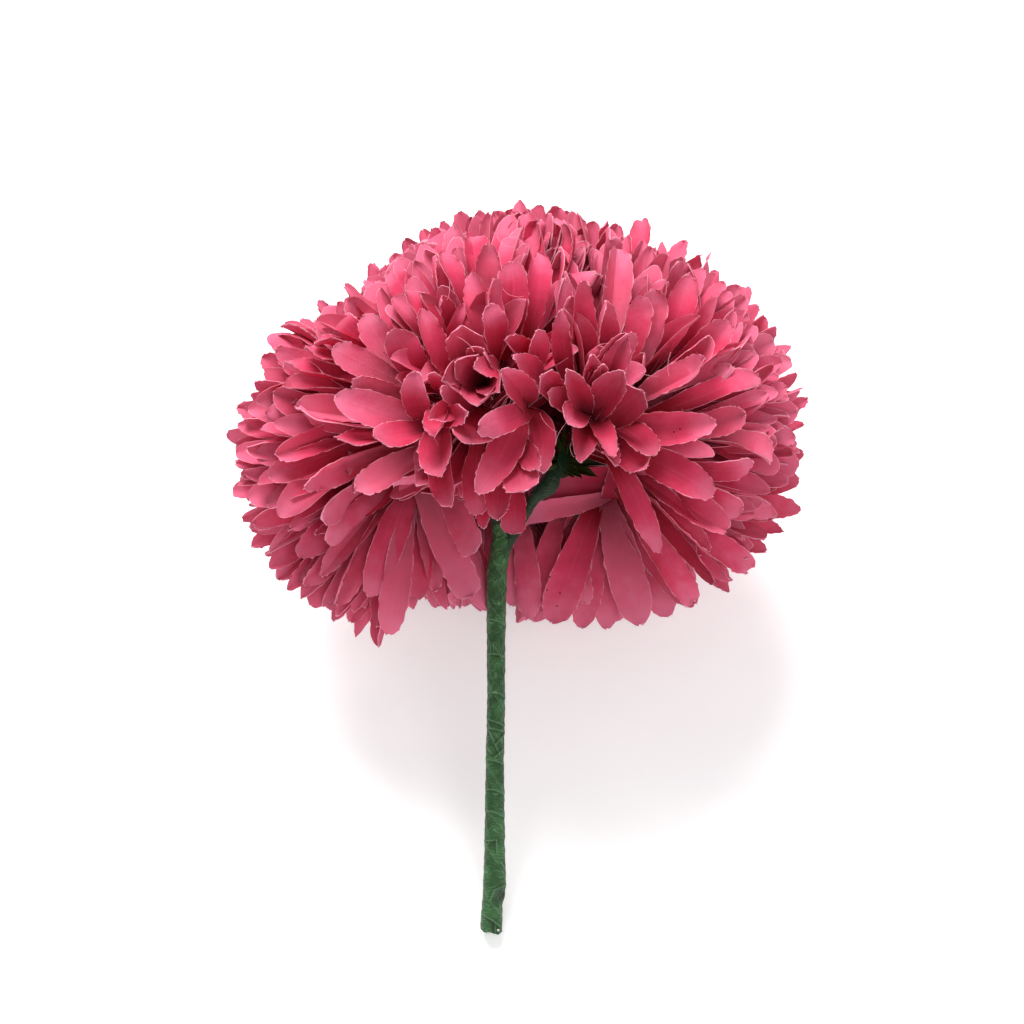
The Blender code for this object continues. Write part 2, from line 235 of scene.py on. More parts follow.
class paintBox:  # the nodes of one material
    def __init__(self, name, settings):
        self.material = bpy.data.materials.new(name)
        self.material.use_nodes = True
        self.tree = self.material.node_tree
        self.shader = self.tree.nodes["Principled BSDF"]
        self.output = self.tree.nodes["Material Output"]
        for socket, value in settings.items():
            self.shader.inputs[socket].default_value = value

    def node(self, kind, settings=None, values=(), output=0):
        made = self.tree.nodes.new(kind)
        for key, value in (settings or {}).items():
            setattr(made, key, value)
        pairs = values.items() if isinstance(values, dict) else enumerate(values)
        for key, value in pairs:
            if isinstance(value, shaderValue):
                self.tree.links.new(value.socket, made.inputs[key])
            else:
                made.inputs[key].default_value = value
        return shaderValue(self, made.outputs[output])

    def attribute(self, name):
        return self.node("ShaderNodeAttribute", {"attribute_name": name}, output="Fac")

    def coordinates(self):
        return self.node("ShaderNodeTexCoord", output="Object")

    def uv(self):
        return self.node("ShaderNodeTexCoord", output="UV")

    def noise(self, place, scale, detail=2.0, rough=0.5):
        values = {"Vector": place, "Scale": scale, "Detail": detail, "Roughness": rough}
        return self.node("ShaderNodeTexNoise", values=values)

    def between(self, value, low, high):  # 0 below low, 1 above high
        values = {"Value": value, "From Min": low, "From Max": high}
        return self.node("ShaderNodeMapRange", {"interpolation_type": "SMOOTHSTEP"}, values)

    def mix(self, share, first, second, blend="MIX"):
        settings = {"data_type": "RGBA", "blend_type": blend}
        return self.node("ShaderNodeMix", settings, {0: share, 6: first, 7: second}, 2)

    def stretch(self, place, scale):
        return self.node("ShaderNodeMapping", values={"Vector": place, "Scale": scale})

    def bump(self, height, distance, strength=1.0):
        values = {"Height": height, "Distance": distance, "Strength": strength}
        return self.node("ShaderNodeBump", values=values)

    def feed(self, **links):
        for key, value in links.items():
            self.tree.links.new(value.socket, self.shader.inputs[key.replace("_", " ")])


def colour(red, green, blue):  # from the 0 to 255 of a colour picker
    return tuple(pow(part / 255, 2.2) for part in (red, green, blue)) + (1.0,)


cloth = {
    "face": colour(222, 66, 102),
    # a painted highlight on the petal tips, and the pale of the weave, streaks and creases
    "tip": colour(240, 142, 174),
    # painted shade: the dark crimson towards the petal roots and over the darkened regions
    "root": colour(150, 0, 26),
    "edge": colour(250, 190, 208),
    # a paler tone, for petals that differ at random and as painted light on the lit strip of cloth
    "paleToneAndPaintedLight": colour(240, 150, 178),
    "glow": colour(236, 14, 56),
    "seeThrough": 0.24,
    "weavePitch": 0.22,  # mm from thread to thread
}


def petalCloth():
    paint = paintBox("petalCloth", {"Roughness": 0.85, "Sheen Weight": 0.02, "Sheen Roughness": 0.5,
                                    "Specular IOR Level": 0.04})
    along, across = paint.attribute("along"), paint.attribute("across")
    edge, toneAndPaintedShade = paint.attribute("edge"), paint.attribute("toneAndPaintedShade")
    place, flat = paint.coordinates(), paint.uv()
    blotch = paint.noise(place, 260, 3)
    fine = paint.noise(place, 1900, 2)
    streak = paint.noise(paint.stretch(flat, (1.5, 0.10, 1)), 1.0, 3, 0.55)
    # painted shade, darkening each petal towards its root
    paintedRootShade = paint.between(along + (blotch - 0.5) * 0.3, 0.10, 0.80)
    base = paint.mix(paintedRootShade, cloth["root"], cloth["face"])
    # painted highlight, paler towards the tip
    base = paint.mix(paint.between(along + (blotch - 0.5) * 0.3, 0.66, 1.02) * 0.55, base, cloth["tip"])
    # tone that differs from petal to petal, plus painted shade darkening the deep regions and painted light
    # paling the lit strip
    base = paint.mix(paint.between(toneAndPaintedShade + (blotch - 0.5) * 0.8, 0.0, 1.0) * 0.30, base, cloth["paleToneAndPaintedLight"])
    base = paint.mix(paint.between(toneAndPaintedShade + (blotch - 0.5) * 0.8, 0.0, -1.0) * 0.30, base, cloth["root"])
    base = paint.mix(paint.between(streak, 0.45, 0.75) * 0.04, base, cloth["tip"])
    crease = 1 - paint.between(abs(across), 0.02, 0.12)
    base = paint.mix(crease * 0.05 * paint.between(along, 0.15, 0.4), base, cloth["tip"])
    ragged = paint.between(edge + (fine - 0.5) * 0.1, 0.94, 0.995)
    ragged = ragged * paint.between(blotch + fine * 0.5, 0.42, 0.72)
    base = paint.mix(ragged * 0.6, base, cloth["edge"])
    bands = {"Vector": flat, "Scale": 1 / cloth["weavePitch"] / 3.2, "Distortion": 1.5, "Detail": 1.0}
    weft = paint.node("ShaderNodeTexWave", {"wave_type": "BANDS", "bands_direction": "X"}, bands)
    warp = paint.node("ShaderNodeTexWave", {"wave_type": "BANDS", "bands_direction": "Y"}, bands)
    threads = weft * warp
    base = paint.mix((threads - 0.25) * 0.12 + 0.05, base, cloth["tip"])
    height = threads * 0.2 + fine * 0.5 + crease * 0.15 + streak * 0.2 + paint.noise(place, 700, 2) * 0.7
    paint.feed(Base_Color=base, Normal=paint.bump(height, 0.00016, 0.7))
    paint.feed(Roughness=0.72 + fine * 0.2)
    through = paint.node("ShaderNodeBsdfTranslucent", values={"Color": paint.mix(0.5, base, cloth["glow"])})
    both = paint.node("ShaderNodeMixShader", values={0: cloth["seeThrough"], 1: shaderValue(
        paint, paint.shader.outputs[0]), 2: through})
    paint.tree.links.new(both.socket, paint.output.inputs["Surface"])
    return paint.material


tapePaint = {
    "face": colour(56, 106, 56),
    "dark": colour(14, 42, 14),
    "pale": colour(112, 158, 112),
    "brown": colour(84, 66, 36),
}


def crepeTape():
    paint = paintBox("crepeTape", {"Roughness": 0.6, "Specular IOR Level": 0.4, "Sheen Weight": 0.15})
    place = paint.coordinates()
    cloudy = paint.noise(place, 420, 3)
    fine = paint.noise(place, 2600, 3)
    winding = paint.node("ShaderNodeTexWave", {"wave_type": "RINGS", "rings_direction": "SPHERICAL"},
                         {"Vector": place, "Scale": 600.0, "Distortion": 12.0, "Detail": 1.0,
                          "Detail Scale": 0.9, "Detail Roughness": 0.5})
    worms = paint.between(winding, 0.74, 0.98) * paint.between(cloudy, 0.36, 0.54)
    lap = paint.attribute("lap")
    base = paint.mix(paint.between(cloudy, 0.35, 0.7), tapePaint["dark"], tapePaint["face"])
    base = paint.mix(0.2 + fine * 0.4, base, tapePaint["face"])
    base = paint.mix(worms * 0.4, base, tapePaint["pale"])
    base = paint.mix(lap * 0.55, base, tapePaint["pale"])
    base = paint.mix(paint.attribute("shade") * 0.9, base, tapePaint["dark"])
    # browner towards the stem's left and right sides, seen from the front
    base = paint.mix(paint.attribute("sideBrown") * 0.6, base, tapePaint["brown"])
    height = worms * 1.0 + fine * 0.35 + cloudy * 0.6
    paint.feed(Base_Color=base, Roughness=0.5 + fine * 0.25, Normal=paint.bump(height, 0.00025, 0.8))
    return paint.material


def calyxGreen():
    paint = paintBox("calyxGreen", {"Roughness": 0.5, "Specular IOR Level": 0.12})
    place = paint.coordinates()
    cloudy = paint.noise(place, 500, 3)
    fine = paint.noise(place, 3000, 2)
    leaf = paint.mix(cloudy, colour(24, 32, 10), colour(52, 60, 22))
    leaf = paint.mix(paint.between(paint.attribute("edge"), 0.8, 1.0) * 0.15, leaf, colour(96, 100, 48))
    cup = paint.mix(cloudy, colour(16, 30, 18), colour(40, 66, 42))
    base = paint.mix(paint.attribute("leaf"), cup, leaf)
    paint.feed(Base_Color=base, Roughness=0.45 + fine * 0.2, Normal=paint.bump(fine + cloudy, 0.0001, 0.6))
    return paint.material


def mottled(name, settings, scale, first, second, stretched=(1, 1, 1)):
    paint = paintBox(name, settings)
    place = paint.coordinates()
    tint = paint.noise(place if stretched == (1, 1, 1) else paint.stretch(place, stretched), scale, 2)
    paint.feed(Base_Color=paint.mix(tint, colour(*first), colour(*second)))
    return paint, tint


def wireMetal():
    settings = {"Metallic": 1.0, "Roughness": 0.4}
    paint, dull = mottled("wireMetal", settings, 4000, (190, 190, 184), (140, 138, 130), (1, 0.1, 1))
    paint.feed(Roughness=0.3 + dull * 0.3)
    return paint.material


def glueWhite():
    settings = {"Roughness": 0.35, "Specular IOR Level": 0.5}
    paint, cloudy = mottled("glueWhite", settings, 1500, (222, 224, 214), (180, 190, 168))
    paint.feed(Normal=paint.bump(cloudy, 0.0001, 0.5))
    return paint.material


def threadPink():
    settings = {"Roughness": 0.7, "Specular IOR Level": 0.2}
    return mottled("threadPink", settings, 900, (226, 104, 134), (248, 186, 202))[0].material


def speckBrown():
    settings = {"Roughness": 0.8, "Specular IOR Level": 0.1}
    return mottled("speckBrown", settings, 2000, (52, 6, 14), (92, 22, 34))[0].material


materials = {
    "cloth": petalCloth(), "thread": threadPink(), "tape": crepeTape(), "calyx": calyxGreen(),
    "wire": wireMetal(), "glue": glueWhite(), "speck": speckBrown(),
}
print("finishes mixed")

# Petals: one is modelled flat, once plain and once fine, and every petal is a bent copy of either

petalShape = {
    "width": 6.3,
    "thickness": 0.16,
    "rootWidth": 0.36,
    "leastWidth": 0.12,
    "leastCup": 0.02,
    "waveFrom": (0.3, 0.8),  # shares of the length over which the rim's waves come in
    "waveAcross": 1.6,
    "curlFrom": 0.72,
    "foldFrom": (-0.1, 0.3),
    "ridgeFrom": (0.1, 0.4),
    "ridgeWidth": 0.3,
    "plain": {  # the many petals further in and behind
        "fray": 0.06,  # mm that the cut edge wanders
        "columns": (-1.0, -0.5, 0.0, 0.5, 1.0),
        "rows": (0.0, 0.18, 0.36, 0.52, 0.66, 0.78, 0.87, 0.935, 0.98, 1.0),
    },
    "fine": {  # the petals set one by one and those along the bloom's edge
        "fray": 0.12,
        "columns": (-1.0, -0.93, -0.55, 0.0, 0.55, 0.93, 1.0),
        "rows": (0.0, 0.1, 0.2, 0.28, 0.35, 0.41, 0.47, 0.52, 0.57, 0.615, 0.66, 0.70, 0.74, 0.775, 0.81,
                 0.84, 0.87, 0.895, 0.92, 0.942, 0.962, 0.98, 0.992, 1.0),
    },
}


def modelPetal(columns, rows, fray):  # a grid cut to rows and columns, given a thickness
    deselectAll()
    bpy.ops.mesh.primitive_grid_add(x_subdivisions=len(columns) - 1, y_subdivisions=len(rows) - 1, size=2)
    petal = bpy.context.object
    points = coordinatesOf(petal)
    column = np.rint((points[:, 0] + 1) / 2 * (len(columns) - 1)).astype(int)
    row = np.rint((points[:, 1] + 1) / 2 * (len(rows) - 1)).astype(int)
    points[:, 0] = np.array(columns)[column]
    points[:, 1] = np.array(rows)[row] * 8
    placeVertices(petal, points)
    wall = petal.modifiers.new("wall", "SOLIDIFY")
    wall.thickness = 0.02
    wall.offset = 0
    wall.use_even_offset = False
    applyModifiers(petal)
    points = coordinatesOf(petal)
    form = {"side": np.sign(points[:, 2]), "faces": [tuple(face.vertices) for face in petal.data.polygons]}
    form["across"] = np.array(columns)[np.abs(points[:, :1] - np.array(columns)).argmin(1)]
    form["along"] = np.array(rows)[np.abs(points[:, 1:2] / 8 - np.array(rows)).argmin(1)]
    spots = sorted(set(zip(form["across"], form["along"])))
    form["spot"] = np.array([spots.index(spot) for spot in zip(form["across"], form["along"])])
    form["spots"] = len(spots)
    form["fray"] = fray
    form["edge"] = np.maximum(np.abs(form["across"]), (form["along"] - 0.88) / 0.12)
    bpy.data.objects.remove(petal)
    return form


plainPetal = modelPetal(**petalShape["plain"])
finePetal = modelPetal(**petalShape["fine"])
print("petals modelled:", len(plainPetal["faces"]), "and", len(finePetal["faces"]), "faces")


def outline(along, point, blunt, widest):  # half width of a petal as a share, root to tip
    base = petalShape["rootWidth"] + (1 - petalShape["rootWidth"]) * smooth(-0.05, widest, along)
    past = np.clip((along - widest) / (1 - widest), 0, 1)
    return np.maximum(base * (1 - past**blunt) ** point, petalShape["leastWidth"])


def bentPetals(form, many, draw):  # vertices of bent copies, petal by petal
    get = {key: np.array([p[key] for p in many], float) for key in many[0]}
    along, across, side = (form[key][None, :] for key in ("along", "across", "side"))
    s = along[..., None]
    root, early, late, tip = (get[key][:, None, :] for key in ("root", "early", "late", "tip"))
    spine = bezier(root, early, late, tip, s)
    rest = 1 - s
    slope = unit(rest**2 * (early - root) + 2 * rest * s * (late - early) + s**2 * (tip - late))
    wide = get["side"][:, None, :] - slope * (slope * get["side"][:, None, :]).sum(-1, keepdims=True)
    wide = unit(wide)
    up = np.cross(wide, slope)
    twist = (get["twist"][:, None] * (along - 0.5))[..., None]
    wide, up = wide * np.cos(twist) + up * np.sin(twist), up * np.cos(twist) - wide * np.sin(twist)
    ending = (get[key][:, None] for key in ("point", "blunt", "widest"))
    half = get["width"][:, None] / 2 * outline(along, *ending)
    cup = get["cupRoot"][:, None] * (1 - along) + get["cupTip"][:, None] * along
    least = petalShape["leastCup"]
    cup = np.where(np.abs(cup) < least, least, cup)
    sideways = half / cup * np.sin(cup * across)
    lift = half / cup * (1 - np.cos(cup * across))
    wave = get["ripple"][:, None] * np.abs(across) ** 2 * smooth(*petalShape["waveFrom"], along)
    swing = along * get["waves"][:, None] + across * petalShape["waveAcross"] + get["phase"][:, None]
    lift = lift + wave * np.sin(swing)
    lift = lift + get["curl"][:, None] * smooth(petalShape["curlFrom"], 1.0, along) ** 2
    lift = lift + get["fold"][:, None] * np.abs(across) * half * smooth(*petalShape["foldFrom"], along)
    ridge = get["ridge"][:, None] * np.exp(-((across / petalShape["ridgeWidth"]) ** 2))
    lift = lift - ridge * smooth(*petalShape["ridgeFrom"], along)
    frayed = np.array([[draw.gauss(0, 1), draw.gauss(0, 1)] for _ in range(len(many) * form["spots"])])
    frayed = frayed.reshape(len(many), form["spots"], 2)[:, form["spot"], :]
    frayed = np.clip(frayed, -2, 2) * form["fray"] * (form["edge"] > 0.99)[None, :, None]
    sideways = sideways + frayed[..., 0]
    points = spine + wide * sideways[..., None] + up * (lift + side * petalShape["thickness"] / 2)[..., None]
    return points + slope * frayed[..., 1:]


def addPetals(name, groups, seed, *nodes):  # one piece from groups of (form, petals)
    draw = random.Random(seed)
    points, faces, flat, first = [], [], [], 0
    kept = {key: [] for key in ("along", "across", "edge", "toneAndPaintedShade")}
    for form, many in groups:
        count = len(form["along"])
        points.append(bentPetals(form, many, draw).reshape(-1, 3))
        faces += copiedFaces(form["faces"], count, len(many), first)
        first += count * len(many)
        for key in ("along", "across", "edge"):
            kept[key].append(np.tile(form[key], len(many)))
        kept["toneAndPaintedShade"].append(np.repeat([p["toneAndPaintedShade"] for p in many], count))
        spread = np.array([p["width"] / 2 for p in many])
        reach = np.array([np.linalg.norm(p["tip"] - p["root"]) for p in many])
        shift = np.array([draw.uniform(0, 90) for _ in many])
        flat.append(np.stack((form["across"][None] * spread[:, None] + shift[:, None],
                              form["along"][None] * reach[:, None] + shift[:, None]), -1).reshape(-1, 2))
    piece = meshPiece(name, pressedOnFloor(toWorld(np.concatenate(points))), faces)
    for key, values in kept.items():
        addAttribute(piece, key, np.concatenate(values))
    layer = piece.data.uv_layers.new(name="cloth")
    corners = np.empty(len(piece.data.loops), int)
    piece.data.loops.foreach_get("vertex_index", corners)
    layer.data.foreach_set("uv", np.concatenate(flat)[corners].ravel())
    return finishPiece(piece, "cloth", "petals", *nodes)


def petalHabit(draw):  # how one petal differs from the next
    return {
        "twist": draw.gauss(0, 0.45),
        "cupRoot": draw.uniform(0.7, 1.5),
        "cupTip": draw.gauss(0.75, 0.6),
        "ripple": abs(draw.gauss(0, 0.4)),
        "waves": draw.uniform(5, 12),
        "phase": draw.uniform(0, 6.3),
        "point": draw.uniform(0.42, 0.60),
        "blunt": draw.uniform(2.0, 3.3),
        "widest": draw.uniform(0.52, 0.70),
        "curl": draw.gauss(0.4, 1.1),
        "ridge": abs(draw.gauss(0, 0.22)),
        "fold": draw.choice((0, 0, 0.1, 0.3, 0.55, -0.2)),
        "toneAndPaintedShade": draw.gauss(0, 0.45),
    }


heads = {
    "left": {
        "base": (-12.5, 11.0, 3.0), "axis": (-0.40, 0.50, -0.77), "column": 10,
        "petals": 190, "lastAngle": 134, "sepalAngle": 132, "lowest": -14.2, "open": (),
    },
    "right": {
        "base": (19.0, 7.5, -10.0), "axis": (0.3, 0.5, -0.81), "column": 7,
        "petals": 200, "lastAngle": 132, "sepalAngle": 112, "lowest": -17.0, "open": (),
    },
    "front": {
        "base": (13.7, 11.7, 5.0), "axis": (0.10, 0.58, 0.81), "column": 18,
        "petals": 190, "lastAngle": 112, "sepalAngle": 100, "lowest": 9.0,
        "open": (((-0.75, -0.62, 0.2), 38), ((0.0, -0.85, 0.5), 26)),
    },
    "crown": {
        "base": (-0.5, 15.5, 9.0), "axis": (-0.24, 0.66, 0.71), "column": 17,
        "petals": 190, "lastAngle": 118, "sepalAngle": 132, "lowest": 6.0,
        "open": (((0.75, -0.6, 0.3), 34),),
    },
    "top": {
        "base": (2.6, 16.5, -5.5), "axis": (0.06, 0.99, -0.13), "column": 10,
        "petals": 210, "lastAngle": 110, "sepalAngle": 132, "lowest": -30, "open": (),
    },
    "back": {
        "base": (-1.5, 8.5, -13.0), "axis": (0.1, 0.5, -0.86), "column": 9,
        "petals": 170, "lastAngle": 122, "sepalAngle": 132, "lowest": -12.5, "open": (),
    },
}
envelope = (  # balls (centre, radius) whose union the tips reach
    ((-16.0, 12.4, 2.0), 32.6),
    ((18.9, 17.6, -3.0), 36.3),
    ((4.0, 22.8, -3.0), 36.0),
    ((6.0, 18.5, 9.0), 34.5),
    ((0.5, 16.5, -15.0), 35.0),
)
growth = {
    "firstAngle": 14,
    "scatter": 4.0,
    "roll": 12,
    "rootStart": 2.4,
    "lowestRoot": 1.6,
    "press": 0.07,
    "presses": 12,
    "cellMargin": -3.5,
    "outward": 0.45,  # how far a petal first follows the head's axis
    "longest": 36.0,
    "shortest": 9.0,
    "frontSink": 0.14,  # share that the petals towards the viewer are shorter, for the placed ones
    "frontFrom": (0.1, 0.5),
    "downward": -0.05,  # petals that point lower than this end at their head's lowest place
    "widths": (0.84, 1.08),
    "shortScatter": 0.05,
    "reflexScatter": 0.10,
    "bowScatter": 0.05,
    "bends": (0.33, 0.67),  # shares of the length where the two bends of a petal lie
    "fade": 0.8,  # how much paler the low petals are
    "fadeFrom": (4, -8),  # mm above the fork
}
tilt = math.radians(pose["layTilt"])
floorNormal = np.array((0, -math.sin(tilt), -math.cos(tilt)))
stemEnd = {"place": (-1.7, -73.6, 0.0), "radius": 1.92}
floorDistance = floorNormal @ np.array(stemEnd["place"]) + stemEnd["radius"] * math.cos(tilt)


def heartOf(head):
    return np.array(head["base"]) + unit(head["axis"]) * head["column"] / 2


def wallsOf(name):  # planes half-way to the other heads, and the floor
    mine = heartOf(heads[name])
    walls = [(floorNormal, floorDistance - 0.3)]
    for other in heads:
        if other != name:
            apart = heartOf(heads[other]) - mine
            walls.append((unit(apart), unit(apart) @ (mine + apart / 2) - growth["cellMargin"]))
    return walls


def reachFrom(root, way):  # how far it is to the outside of the envelope
    reach = 0.0
    for middle, radius in envelope:
        inward = (np.array(middle) - root) @ way
        square = inward**2 - (root - middle) @ (root - middle) + radius**2
        if square > 0:
            reach = max(reach, inward + math.sqrt(square))
    return reach


def growPetals(name):
    head = heads[name]
    draw = random.Random(11 + list(heads).index(name))
    axis, base = unit(head["axis"]), np.array(head["base"])
    first, second = squareTo(axis)
    lastAngle, firstAngle = math.radians(head["lastAngle"]), math.radians(growth["firstAngle"])
    walls = wallsOf(name)
    scatter = math.radians(growth["scatter"])
    grown = []
    for count in range(head["petals"]):
        share = (count + 0.5) / head["petals"]
        angle = math.acos(math.cos(firstAngle) * (1 - share) + math.cos(lastAngle) * share)
        turn = count * goldenAngle + draw.gauss(0, 1) * scatter
        angle += draw.gauss(0, 1) * scatter
        out = math.cos(turn) * first + math.sin(turn) * second
        way = math.sin(angle) * out + math.cos(angle) * axis
        roll = draw.gauss(0, 1) * math.radians(growth["roll"])
        shortfall = 1 - abs(draw.gauss(0, growth["shortScatter"]))
        values = {"width": petalShape["width"] * draw.uniform(*growth["widths"]), **petalHabit(draw)}
        reflex = draw.gauss(0.0, growth["reflexScatter"])
        bow = draw.gauss(0, growth["bowScatter"])
        if any(degreesBetween(way, unit(hole)) < half for hole, half in head["open"]):
            continue
        rise = (lastAngle - angle) / (lastAngle - firstAngle)
        foot = base + axis * (growth["lowestRoot"] + (head["column"] - growth["lowestRoot"]) * rise)
        for _ in range(growth["presses"]):
            root = foot + way * growth["rootStart"]
            reach = min(reachFrom(root, way), growth["longest"]) * shortfall
            reach *= 1 - growth["frontSink"] * smooth(*growth["frontFrom"], way[2])
            if way[1] < growth["downward"]:
                reach = min(reach, max((head["lowest"] - root[1]) / way[1], growth["shortest"]))
            tip = root + way * reach
            over = [normal for normal, distance in walls if normal @ tip > distance]
            if not over:
                break
            way = unit(way - sum(over) * growth["press"])
        else:
            continue
        sideways = turned(np.cross(axis, out), roll, way)
        lean = unit(np.cross(np.cross(axis, out), way))  # towards the hollow face
        firstBend, secondBend = growth["bends"]
        early = root + unit(way + axis * growth["outward"] * (1 - share * 0.8)) * reach * firstBend
        late = root + way * reach * secondBend + lean * (bow + reflex) * reach
        values["toneAndPaintedShade"] += growth["fade"] * smooth(*growth["fadeFrom"], tip[1])
        grown.append({"root": root, "early": early, "late": late, "tip": tip, "side": -sideways, **values})
    return grown
